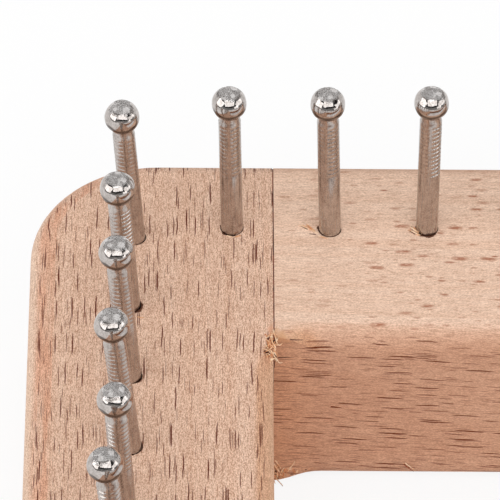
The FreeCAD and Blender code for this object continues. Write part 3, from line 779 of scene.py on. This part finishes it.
def makeTuft(fibres, name):
    pieces = [makeFibre(points, thickness, fibreAndShadeFinish[tone]) for tone, thickness, points in fibres]
    return joinPieces(pieces, name)


def placeTuft(tuft, matrix, name):
    piece = copyPiece(tuft, matrix, name)
    closeUp(piece)
    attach(piece, "frame")


def smallCurls(count, low, high, seed, upright=False):
    # short hooked fibres strewn over a patch, from the corner; upright ones lie on the rail's face
    chance = random.Random(seed)
    curls = []
    for number in range(count):
        middle = Vector((chance.uniform(low[0], high[0]), chance.uniform(low[1], high[1])))
        turn = Matrix.Rotation(chance.uniform(0, math.tau), 2)
        size = chance.uniform(*curlShape["size"])
        hook = curlShape["hook"] + ((1.0, chance.uniform(-0.9, 0.9)),)
        points = []
        for spot, lift in zip(hook, (low[2], high[2], high[2], low[2] / 2)):
            across, along = middle + turn @ Vector(spot) * size
            points.append((across, -lift, along) if upright else (across, along, lift))
        curls.append((curlShape["tones"][number % 4], chance.uniform(*curlShape["thickness"]), points))
    return curls


topFibres += smallCurls(22, (-0.75, -2.1, -0.08), (0.15, 0.5, 0.16), 3)
topFibres += smallCurls(9, (-0.5, -3.4, -0.08), (0.2, -2.0, 0.1), 5)
bottomFibres += smallCurls(20, (0.1, 0.55, -0.08), (1.15, 2.3, 0.14), 8, upright=True)
bottomFibres += smallCurls(9, (1.0, 1.3, -0.08), (2.6, 2.0, 0.1), 9, upright=True)
fibreAndShadeFinish = {}
for tone, pair in fibreAndShadeTones.items():
    fibreAndShadeFinish[tone] = twoToned(tone + "TornWoodAndShade", pair, cells=(1.4, 1.4, 1.4), detail=2.0, rough=0.6,
                                turnsAt=(0.38, 0.62), smooth=0.6)
topTuft = makeTuft(topFibres, "topTuft")
bottomTuft = makeTuft(bottomFibres, "bottomTuft")
for end, endSign in (("pinned", -1), ("plain", 1)):
    for side, sideSign in (("back", 1), ("front", -1)):
        mirror = Matrix.Diagonal((-endSign, sideSign, 1, 1))
        for level, tuft, height in (("top", topTuft, innerCorner[2]), ("bottom", bottomTuft, 0.0)):
            corner = Vector((endSign * innerCorner[0], sideSign * innerCorner[1], height)) * mm
            name = "torn_fibres_" + end + "_" + side + "_" + level
            placeTuft(tuft, Matrix.Translation(corner) @ mirror, name)
slivers = makeTuft(pinSlivers, "slivers")
placeTuft(slivers, Matrix.Translation((0, 0, innerCorner[2] * mm)), "pin_slivers_and_shade")
dropPieces(topTuft, bottomTuft, slivers)
print("torn fibres done")


# Steel
def makeScuffGroup():
    # Drawn stretches the streaks along the wire; Scratches sets how many short scars cross them
    tree, given, result = makeGroup("scuffedMetal", ("Place", "Drawn"), ("Scratches", "Mottle"),
                                    ("Tone", "Rough", "Height"))
    place = given["Place"]
    cloud = noise(place, 1.7, 3.0, 0.65)
    fine = noise(place, 7.0, rough=0.7)
    streak = noise(stretch(place, given["Drawn"]), rough=0.6)
    scars = []
    for angles, scale in (((0.4, 0.2, 0.7), (0.45, 5.0, 1.6)), ((1.1, -0.5, 2.1), (0.6, 5.5, 1.8))):
        scars.append(ramp(noise(stretch(turnVector(place, angles), scale), detail=1.0), 0.68, 0.74))
    scar = times(larger(*scars), given["Scratches"])
    patchy = ramp(weigh(cloud, 0.55, streak, 0.45), 0.4, 0.62)
    patchy = weigh(patchy, 0.5, ramp(fine, 0.4, 0.62), 0.5)
    relief = plus(weigh(cloud, 0.6, streak, 0.3), times(fine, 0.25))
    giveOut(result, Tone=times(larger(patchy, scar), given["Mottle"], clamp=True),
            Rough=weigh(streak, 0.6, scar, 0.4), Height=minus(relief, times(scar, 0.35)))
    return tree


scuffGroup = makeScuffGroup()


def steel(name, look):
    material, surface = newMaterial(name)
    here, normal = whereShaded()
    scuff = useGroup(scuffGroup, Place=here, Drawn=look["drawn"], Scratches=look["scratches"],
                     Mottle=look["mottle"])
    colour = blendColour(scuff["Tone"], look["bright"], look["dull"])
    if "underShadeTone" in look:
        # painted shade: the underside darkens toward its outline, standing in for the shadowed floor that the
        # ball mirrors there
        grazing = addNode("LayerWeight")
        grazing.inputs["Blend"].default_value = 0.5
        up = axesOf(normal)["Z"]
        under = times(ramp(up, -0.15, 0.05, 1.0, 0.0), ramp(up, -0.62, -0.4))
        under = times(under, ramp(grazing.outputs["Facing"], 0.38, 0.54))
        colour = blendColour(under, colour, look["underShadeTone"])
    connect(colour, surface["Base Color"])
    surface["Metallic"].default_value = 1.0
    connect(ramp(scuff["Rough"], 0.15, 0.75, look["smooth"], look["rough"]), surface["Roughness"])
    roughen(surface, scuff["Height"], look["bump"], 0.02)
    return material


capLook = {
    "bright": (0.88, 0.85, 0.835, 1.0),
    "dull": (0.58, 0.54, 0.52, 1.0),
    "drawn": (2.6, 2.6, 2.6),
    "scratches": 1.0,
    "mottle": 0.9,
    "smooth": 0.2,
    "rough": 0.4,
    "bump": 0.6,
}
# the head's under tone is painted shade along the ball's lower outline
headLook = dict(capLook, bright=(0.62, 0.575, 0.55, 1.0), dull=(0.36, 0.32, 0.295, 1.0),
                underShadeTone=(0.11, 0.09, 0.08, 1.0), drawn=(3.0, 3.0, 1.2), scratches=0.8, smooth=0.04,
                rough=0.12, bump=0.5)
shankLook = dict(capLook, bright=(0.6, 0.55, 0.52, 1.0), dull=(0.33, 0.29, 0.265, 1.0),
                 drawn=(9.0, 9.0, 0.35), scratches=0.3, rough=0.42, bump=0.9)
zincLook = dict(capLook, bright=(0.66, 0.67, 0.69, 1.0), dull=(0.52, 0.53, 0.56, 1.0),
                drawn=(1.2, 1.2, 1.2), scratches=0.5, smooth=0.24, rough=0.45, bump=0.4)
headSteel = steel("headSteel", headLook)
capSteel = steel("capSteel", capLook)
shankSteel = steel("shankSteel", shankLook)
zincSteel = steel("zincSteel", zincLook)


# Ball-headed pins
# One pin stands on the origin, the wood's surface at height zero; each row's copies stand on the CAD pins.
pinShape = {
    "radius": 1.075,
    "tip": 0.5,
    "gripTop": 13.8,            # highest of the grip marks left by the heading dies
    "gripStep": 0.51,
    "gripCount": 13,
    "gripWidth": 0.19,
    "gripSlant": 5,
    "neckTop": 15.06,
    "neckRadius": 0.98,
    "neckLength": 0.8,
    "ball": 1.68,
    "ballHeight": 16.43,
    "ballRings": 18,
    "capEdge": 50,              # degrees above level where the ball turns into the flatter cap
    "capTop": 0.95,             # the cap's height above the ball's middle, as a share of its radius
    "capRings": 8,
    "flatReach": 0.9,           # the hammered flats' distance from the ball's middle, as such a share
    "dents": 0.07,              # from the deepest to the highest
    "dentSize": 0.9,
    "smoothBelow": 24,          # degrees
    "sides": 64,
    "plainSides": 24,
}
gripHeights = [pinShape["gripTop"] - mark * pinShape["gripStep"] for mark in range(pinShape["gripCount"])]


def pinProfile():
    shape = pinShape
    radius, ball, middle = shape["radius"], shape["ball"], shape["ballHeight"]
    outline = [(radius - shape["tip"], -pinDepth), (radius, shape["tip"] - pinDepth), (radius, 0.0)]
    half = shape["gripWidth"] / 2
    for height in reversed(gripHeights):
        outline += [(radius, height - half), (radius, height), (radius, height + half)]
    neckRadius, neckFoot = shape["neckRadius"], shape["neckTop"] - shape["neckLength"]
    outline += [(radius, neckFoot), (neckRadius + 0.03, neckFoot + 0.25), (neckRadius, neckFoot + 0.5)]
    start = -math.degrees(math.acos(neckRadius / ball))
    for step in range(shape["ballRings"] + 1):
        angle = math.radians(start + (shape["capEdge"] - start) * step / shape["ballRings"])
        outline.append((ball * math.cos(angle), middle + ball * math.sin(angle)))
    rim, rise = outline[-1][0], outline[-1][1] - middle
    sag = shape["capTop"] * ball - rise
    domeRadius = (rim * rim + sag * sag) / (2 * sag)
    rimAngle = math.asin(rim / domeRadius)
    lastRing = shape["capRings"] + 0.6      # short of the axis, where a fan closes the cap
    for step in range(1, shape["capRings"] + 1):
        angle = rimAngle * (1 - step / lastRing)
        height = middle + shape["capTop"] * ball - domeRadius * (1 - math.cos(angle))
        outline.append((domeRadius * math.sin(angle), height))
    return outline


def dentHead(piece):
    # the ball isn't quite round
    clouds = bpy.data.textures.new("dents", "CLOUDS")
    clouds.noise_scale = pinShape["dentSize"] * mm
    clouds.noise_depth = 0
    addModifier(piece, "DISPLACE", texture=clouds, texture_coords="LOCAL", vertex_group="head", mid_level=0.6,
                strength=pinShape["dents"] * mm)


def wayTo(azimuth, elevation):
    # in degrees: azimuth 0 is in front of the board, toward -Y, and grows toward +X
    a, e = math.radians(azimuth), math.radians(elevation)
    return Vector((math.sin(a) * math.cos(e), -math.cos(a) * math.cos(e), math.sin(e)))


def flattenHead(piece, tilt, lean):
    # a flat on the ball, as a hammer leaves it: its tilt from level, and the way it leans, from +X toward +Y
    facing = wayTo(lean + 90, 90 - tilt)
    middle = Vector((0, 0, pinShape["ballHeight"] * mm))
    editPiece(piece, everything=True)
    bpy.ops.mesh.bisect(plane_co=middle + facing * pinShape["flatReach"] * pinShape["ball"] * mm,
                        plane_no=facing, use_fill=True, clear_outer=True)
    bpy.ops.mesh.mark_sharp()
    stopEditing()
    for face in piece.data.polygons:
        if face.normal.dot(facing) > 0.9999 and len(face.vertices) > 8:
            face.material_index = 2


def turnPin(name, sides, marks, flats):
    # marks: columns of grip marks, each with its middle and half its width in degrees, and its share of the
    # radius; flats: tilt and lean
    piece = turnOutline(pinProfile(), sides, name)
    editPiece(piece)
    heights = [height * mm for height in gripHeights]
    for degrees, halfArc, share in marks:
        middle = math.radians(degrees)
        side = Vector((math.cos(middle), math.sin(middle)))
        reach = math.cos(math.radians(halfArc)) * pinShape["radius"] * mm
        selectVerts(piece, lambda co: co.xy.dot(side) > reach
                    and min(abs(co.z - height) for height in heights) < 0.01 * mm)
        resizeAbout((share, share, 1), (0, 0, 0))
    for height in heights:
        selectVerts(piece, lambda co: abs(co.z - height) < pinShape["gripWidth"] * 0.6 * mm)
        rotateAbout(pinShape["gripSlant"], (0, 0, height))
    selectVerts(piece, lambda co: co.z > (pinShape["neckTop"] + 0.3) * mm)
    bpy.ops.object.vertex_group_assign_new()
    stopEditing()
    piece.vertex_groups[0].name = "head"
    dentHead(piece)
    for material in (shankSteel, headSteel, capSteel):
        piece.data.materials.append(material)
    rimHeight = pinShape["ballHeight"] + math.sin(math.radians(pinShape["capEdge"])) * pinShape["ball"]
    for face in piece.data.polygons:
        face.material_index = sum(face.center.z > height * mm for height in (pinShape["neckTop"], rimHeight))
    for flat in flats:
        flattenHead(piece, *flat)
    smoothBelow(piece, pinShape["smoothBelow"])
    return piece


# degrees that turn each photographed pin's grip marks to where the photograph shows them, in each row's order
gripTurns = {"end_row_pins": (-48, -133, -138, -128, -125, -135), "block_side_pins": (-45,),
             "back_rail_pins": (-58, -48)}
deepPins = {"end_row_pins": (0, 1, 2), "back_rail_pins": (1,)}


def standPins(node, body, isPhotographed):
    copies = []
    for number, (foot, way) in enumerate(standsOf(node)):
        source = plainPin
        if isPhotographed(foot):
            source = deepPin if number in deepPins.get(node, ()) else faintPin
        turns = gripTurns.get(node, ())
        degrees = turns[number] if number < len(turns) else random.uniform(0, 180)
        spin = Matrix.Rotation(math.radians(degrees), 4, "Z")
        turnTo = Vector((0, 0, 1)).rotation_difference(way).to_matrix().to_4x4()
        place = Matrix.Translation(foot + way * pinDepth * mm)
        copies.append(copyPiece(source, place @ turnTo @ spin, node + "_turned"))
    row = joinPieces(copies, node + "_turned")
    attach(row, body)
    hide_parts(node)


deepPin = turnPin("deepPin", pinShape["sides"],
                  [(0, 33, 0.94), (90, 40, 0.975), (180, 40, 0.985), (270, 40, 0.98)],
                  [(22, 20), (24, 130), (14, 260)])
faintPin = turnPin("faintPin", pinShape["sides"],
                   [(0, 41, 0.972), (90, 41, 0.98), (180, 41, 0.985), (270, 41, 0.98)],
                   [(20, -5), (24, 95), (18, 215)])
plainPin = turnPin("plainPin", pinShape["plainSides"], [(0, 41, 0.955), (180, 41, 0.97)], [(16, 10), (18, 200)])
inView = -0.18      # the photograph shows the back rail's pins left of this X, in metres
standPins("end_row_pins", "frame", lambda foot: foot.y > -0.001)
standPins("block_side_pins", "frame", lambda foot: foot.y > 0)
standPins("back_rail_pins", "frame", lambda foot: foot.x < inView)
standPins("front_rail_pins", "frame", lambda foot: False)
standPins("slider_pins", "slider", lambda foot: False)
dropPieces(deepPin, faintPin, plainPin)
print("pins done")


# Fasteners of the sliding crossbar, each made standing on its own local origin
boltShape = {
    "radius": 2.5,
    "length": 32.0,
    "tip": 0.5,
    "edge": 0.1,
    "headRadius": 6.2,
    "headHeight": 2.6,
    "headRim": 0.5,
    "neckLength": 3.0,
    "neckBevel": 0.25,
    "pitch": 0.8,
    "threadDepth": 0.46,
    "threadTurns": 9,
    "threadFoot": 0.92,         # a tooth's height at its foot, as a share of the pitch
    "threadCrest": 0.16,        # its height at the crest, as a share of that
    "sides": 48,
    "smoothBelow": 35,
}
washerShape = {
    "outline": [(2.8, 0.12), (2.92, 0.0), (5.9, 0.0), (6.0, 0.06), (6.0, 0.72), (5.93, 0.9), (5.74, 1.0),
                (2.95, 1.0), (2.83, 0.93), (2.8, 0.8), (2.8, 0.12)],
    "sides": 64,
    "smoothBelow": 40,
}
nutShape = {
    "barrel": [(2.56, 0.2), (2.8, 0.0), (4.7, 0.0), (4.9, 0.2), (4.88, 0.75), (4.55, 1.15), (4.0, 4.9),
               (3.75, 5.35), (3.2, 5.5), (2.75, 5.5), (2.56, 5.3), (2.56, 0.2)],
    # stations of an ear: out, up, width, thickness, degrees from level
    "wing": [(2.9, 2.5, 3.6, 2.6, 20), (4.3, 3.3, 3.4, 2.3, 42), (6.0, 5.2, 4.3, 2.1, 50),
             (7.9, 7.6, 6.6, 2.0, 52), (9.6, 9.7, 6.4, 1.9, 52), (10.75, 11.1, 3.6, 1.7, 52)],
    "voxel": 0.2,
    "smoothings": 5,
    "sides": 64,
    "smoothBelow": 50,
    "turn": {"back": 110, "front": 70},     # degrees at rest
}


def makeBolt(name):
    shape = boltShape
    radius, headRadius, length, pitch = (shape[key] for key in ("radius", "headRadius", "length", "pitch"))
    edge, depth = shape["edge"], shape["threadDepth"]
    dome = shape["headHeight"] - shape["headRim"]
    domeRadius = (headRadius ** 2 + dome ** 2) / (2 * dome)
    outline = []
    for step in range(1, 11):
        reach = headRadius * step / 10
        sag = domeRadius - math.sqrt(domeRadius ** 2 - reach ** 2)
        outline.append((reach, sag - shape["headHeight"]))
    core = radius - depth
    threadStart = length - shape["tip"] - pitch * (shape["threadTurns"] + 0.5)
    outline += [(headRadius, -edge), (headRadius - edge, 0.0), (radius, 0.0), (radius, threadStart - 0.4),
                (core, threadStart), (core, length - edge), (core - edge, length)]
    bolt = turnOutline(outline, shape["sides"], name)
    smoothBelow(bolt, shape["smoothBelow"])

    # the square neck that stops it turning in the wood
    deselectAll()
    bpy.ops.mesh.primitive_cube_add(size=2 * radius * mm, location=(0, 0, shape["neckLength"] / 2 * mm))
    neck = startPiece(name + "_neck")
    neck.scale.z = shape["neckLength"] / (2 * radius)
    bpy.ops.object.transform_apply()
    addModifier(neck, "BEVEL", width=shape["neckBevel"] * mm, segments=2)

    # one tooth of the thread, swept up the shank
    toothHeight = (threadStart + pitch * 0.25) * mm
    deselectAll()
    bpy.ops.mesh.primitive_plane_add(size=1)
    thread = startPiece(name + "_thread")
    thread.scale = (depth * mm, pitch * shape["threadFoot"] * mm, 1)
    thread.rotation_euler = (math.radians(90), 0, 0)
    thread.location = ((core + depth / 2 - 0.02) * mm, 0, toothHeight)      # sunk a little into the core
    bpy.ops.object.transform_apply()
    editPiece(thread)
    selectVerts(thread, lambda co: co.x > core * mm)
    resizeAbout((1, 1, shape["threadCrest"]), (0, 0, toothHeight))
    bpy.ops.mesh.select_all(action="SELECT")
    bpy.ops.mesh.delete(type="ONLY_FACE")
    stopEditing()
    addModifier(thread, "SCREW", screw_offset=pitch * mm, iterations=shape["threadTurns"],
                steps=shape["sides"], render_steps=shape["sides"], use_merge_vertices=False)
    editPiece(thread, everything=True)
    bpy.ops.mesh.fill_holes(sides=4)
    closeUp(thread)
    smoothBelow(thread, shape["smoothBelow"])
    return joinPieces([bolt, neck, thread], name)


def makeWasher(name):
    washer = turnOutline(washerShape["outline"], washerShape["sides"], name)
    smoothBelow(washer, washerShape["smoothBelow"])
    return washer


def makeWing(name):
    # a bar pushed out of the barrel face by face, swelling into the ear
    out, up, width, thickness, lean = nutShape["wing"][0]
    deselectAll()
    bpy.ops.mesh.primitive_plane_add(size=1)
    wing = startPiece(name)
    wing.scale = (width * mm, thickness * mm, 1)
    wing.rotation_euler = (0, math.radians(90 - lean), 0)
    wing.location = (out * mm, 0, up * mm)
    bpy.ops.object.transform_apply()
    editPiece(wing)
    bpy.ops.mesh.select_mode(type="FACE")
    bpy.ops.mesh.select_all(action="SELECT")
    for station in nutShape["wing"][1:]:
        nextOut, nextUp, nextWidth, nextThickness, nextLean = station
        step = ((nextOut - out) * mm, 0, (nextUp - up) * mm)
        bpy.ops.mesh.extrude_region_move(TRANSFORM_OT_translate={"value": step})
        middle = (nextOut * mm, 0, nextUp * mm)
        if nextLean != lean:
            rotateAbout(nextLean - lean, middle)
        share = nextWidth / width
        resizeAbout((share, nextThickness / thickness, share), middle)
        out, up, width, thickness, lean = station
    closeUp(wing)
    addModifier(wing, "SUBSURF", levels=3, render_levels=3)
    return wing


def makeWingNut(name):
    # a cast nut: barrel and ears are fused and softened, so that they run into each other in small hollows
    barrel = turnOutline(nutShape["barrel"], nutShape["sides"], name)
    wing = makeWing(name + "_wing")
    otherWing = copyPiece(wing, Matrix.Rotation(math.pi, 4, "Z"), name + "_other_wing")
    nut = joinPieces([barrel, wing, otherWing], name)
    addModifier(nut, "REMESH", mode="VOXEL", voxel_size=nutShape["voxel"] * mm)
    addModifier(nut, "SMOOTH", factor=0.5, iterations=nutShape["smoothings"])
    smoothBelow(nut, nutShape["smoothBelow"])
    return nut


def seatFastener(source, node, body, degrees=0.0):
    # over the CAD part: the same axis, and the same lowest point
    low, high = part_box(node)
    middle = (low + high) / 2
    lowest = min(vert.co.z for vert in source.data.vertices)
    stand = Matrix.Translation((middle.x, middle.y, low.z - lowest))
    piece = copyPiece(source, stand @ Matrix.Rotation(math.radians(degrees), 4, "Z"), node + "_turned")
    piece.data.name = piece.name
    setFinish(piece, zincSteel)
    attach(piece, body)
    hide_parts(node)


bolt = makeBolt("bolt")
washer = makeWasher("washer")
wingNut = makeWingNut("wingNut")
for side in ("back", "front"):
    seatFastener(bolt, side + "_carriage_bolt", "slider")
    seatFastener(washer, side + "_washer", side + "_washer_set")
    seatFastener(wingNut, side + "_wing_nut", side + "_nut", nutShape["turn"][side])
dropPieces(bolt, washer, wingNut)
print("fasteners done")


# Floor, light and camera
studio = {
    "floorSize": 6.0,
    "floorTone": 0.95,
    "backgroundShare": 0.86,    # how much of the floor's white the camera sees whatever the light
    "mirrorShare": 0.15,        # and how much of it metal reflects
    "worldLight": 0.45,
    "skyShown": 0.78,           # how bright metal sees the sky, the backdrop, the room and the table's edge
    "backdropShown": 0.85,
    "roomShown": 0.03,
    "tableShown": 0.3,
}
softboxes = {       # azimuth and elevation in degrees, distance, width and height in metres, radiance
    "frontSoftbox": (3, 48, 3.0, 4.1, 2.6, 1.75),
    "leftSoftbox": (-68, 24, 3.0, 2.3, 1.8, 2.0),
    "rightSoftbox": (72, 20, 3.0, 2.4, 1.0, 1.5),
    "lowSoftbox": (47, 7, 3.0, 1.2, 0.5, 1.5),
    "rearSoftbox": (165, 62, 3.2, 2.8, 1.8, 1.1),
}
cameraSetup = {
    "aim": (-207.617, 45.932, 19.9),    # a point on the wood near the photographed corner
    "distance": 566.57,
    "elevation": 43.687,
    "azimuth": -0.838,
    "roll": 0.98,
    "lens": 419.24,
}


def lookingRays():
    # whether the camera looks, and whether a reflection does
    path = addNode("LightPath").outputs
    return path["Is Camera Ray"], larger(path["Is Glossy Ray"], path["Is Transmission Ray"])


def makeFloor():
    deselectAll()
    bpy.ops.mesh.primitive_plane_add(size=studio["floorSize"], location=(0, 0, cadBox[0].z))
    floor = startPiece("studioFloor")
    bpy.ops.object.transform_apply()
    material = newMaterial("floorPaper")[0]
    material.node_tree.nodes.clear()
    output, paper, white = (addNode(kind) for kind in ("OutputMaterial", "BsdfDiffuse", "Emission"))
    paper.inputs["Color"].default_value = (studio["floorTone"],) * 3 + (1.0,)
    isSeen, isMirrored = lookingRays()
    mix = addNode("MixShader")
    shown = larger(times(isSeen, studio["backgroundShare"]), times(isMirrored, studio["mirrorShare"]))
    for number, value in enumerate((shown, paper.outputs[0], white.outputs[0])):
        connect(value, mix.inputs[number])
    connect(mix.outputs[0], output.inputs["Surface"])
    setFinish(floor, material)


def makeWorld():
    world = bpy.data.worlds.new("studioWorld")
    bpy.context.scene.world = world
    world.use_nodes = True
    background = workOn(world.node_tree).nodes["Background"].inputs
    way = axesOf(addNode("TexCoord").outputs["Generated"])
    isSeen, isMirrored = lookingRays()
    lightTone = ramp(way["Z"], -0.1, 0.9, studio["worldLight"] * 0.75, studio["worldLight"])
    shownTone = ramp(way["Z"], 0.1, 0.6, studio["backdropShown"], studio["skyShown"])
    # metal sees an unlit room in front, between the softboxes, and below it the dim edge of the table
    dim = times(ramp(way["Y"], -0.3, 0.1, 1.0, 0.0), ramp(way["Z"], 0.75, 0.95, 1.0, 0.0))
    dimTone = ramp(way["Z"], 0.2, 0.27, studio["tableShown"], studio["roomShown"])
    shownTone = times(shownTone, ramp(dim, 0.0, 1.0, 1.0, dimTone))
    tone = weigh(shownTone, isMirrored, lightTone, minus(1.0, isMirrored))
    background["Color"].default_value = (1.0, 1.0, 1.0, 1.0)
    connect(plus(times(tone, minus(1.0, isSeen)), isSeen), background["Strength"])


def standBack(name, data, azimuth, elevation, distance, roll=0.0, unit=1.0):
    # a lamp or the camera, looking at the aim; the unit is the distance's, in metres
    away = wayTo(azimuth, elevation)
    thing = bpy.data.objects.new(name, data)
    bpy.context.scene.collection.objects.link(thing)
    thing.location = Vector(cameraSetup["aim"]) * mm + away * distance * unit
    thing.rotation_mode = "QUATERNION"
    level = (-away).to_track_quat("-Z", "Y")
    thing.rotation_quaternion = level @ Quaternion((0, 0, 1), math.radians(roll))
    return thing


def addSoftbox(name, azimuth, elevation, distance, width, height, radiance):
    light = bpy.data.lights.new(name, "AREA")
    light.shape = "RECTANGLE"
    light.size = width
    light.size_y = height
    light.energy = radiance * math.pi * width * height
    return standBack(name, light, azimuth, elevation, distance)


def makeCamera():
    data = bpy.data.cameras.new("photoCamera")
    data.lens = cameraSetup["lens"]
    data.sensor_width = 36.0
    data.clip_start = 0.01
    data.clip_end = 50.0
    setup = [cameraSetup[key] for key in ("azimuth", "elevation", "distance", "roll")]
    bpy.context.scene.camera = standBack("photoCamera", data, *setup, unit=mm)


makeFloor()
makeWorld()
makeCamera()
for name, setup in softboxes.items():
    lamp = addSoftbox(name, *setup)
    lamp.visible_glossy = name != "rearSoftbox"
bpy.context.scene.view_settings.view_transform = "Standard"
print("studio done")

bpy.context.view_layer.update()
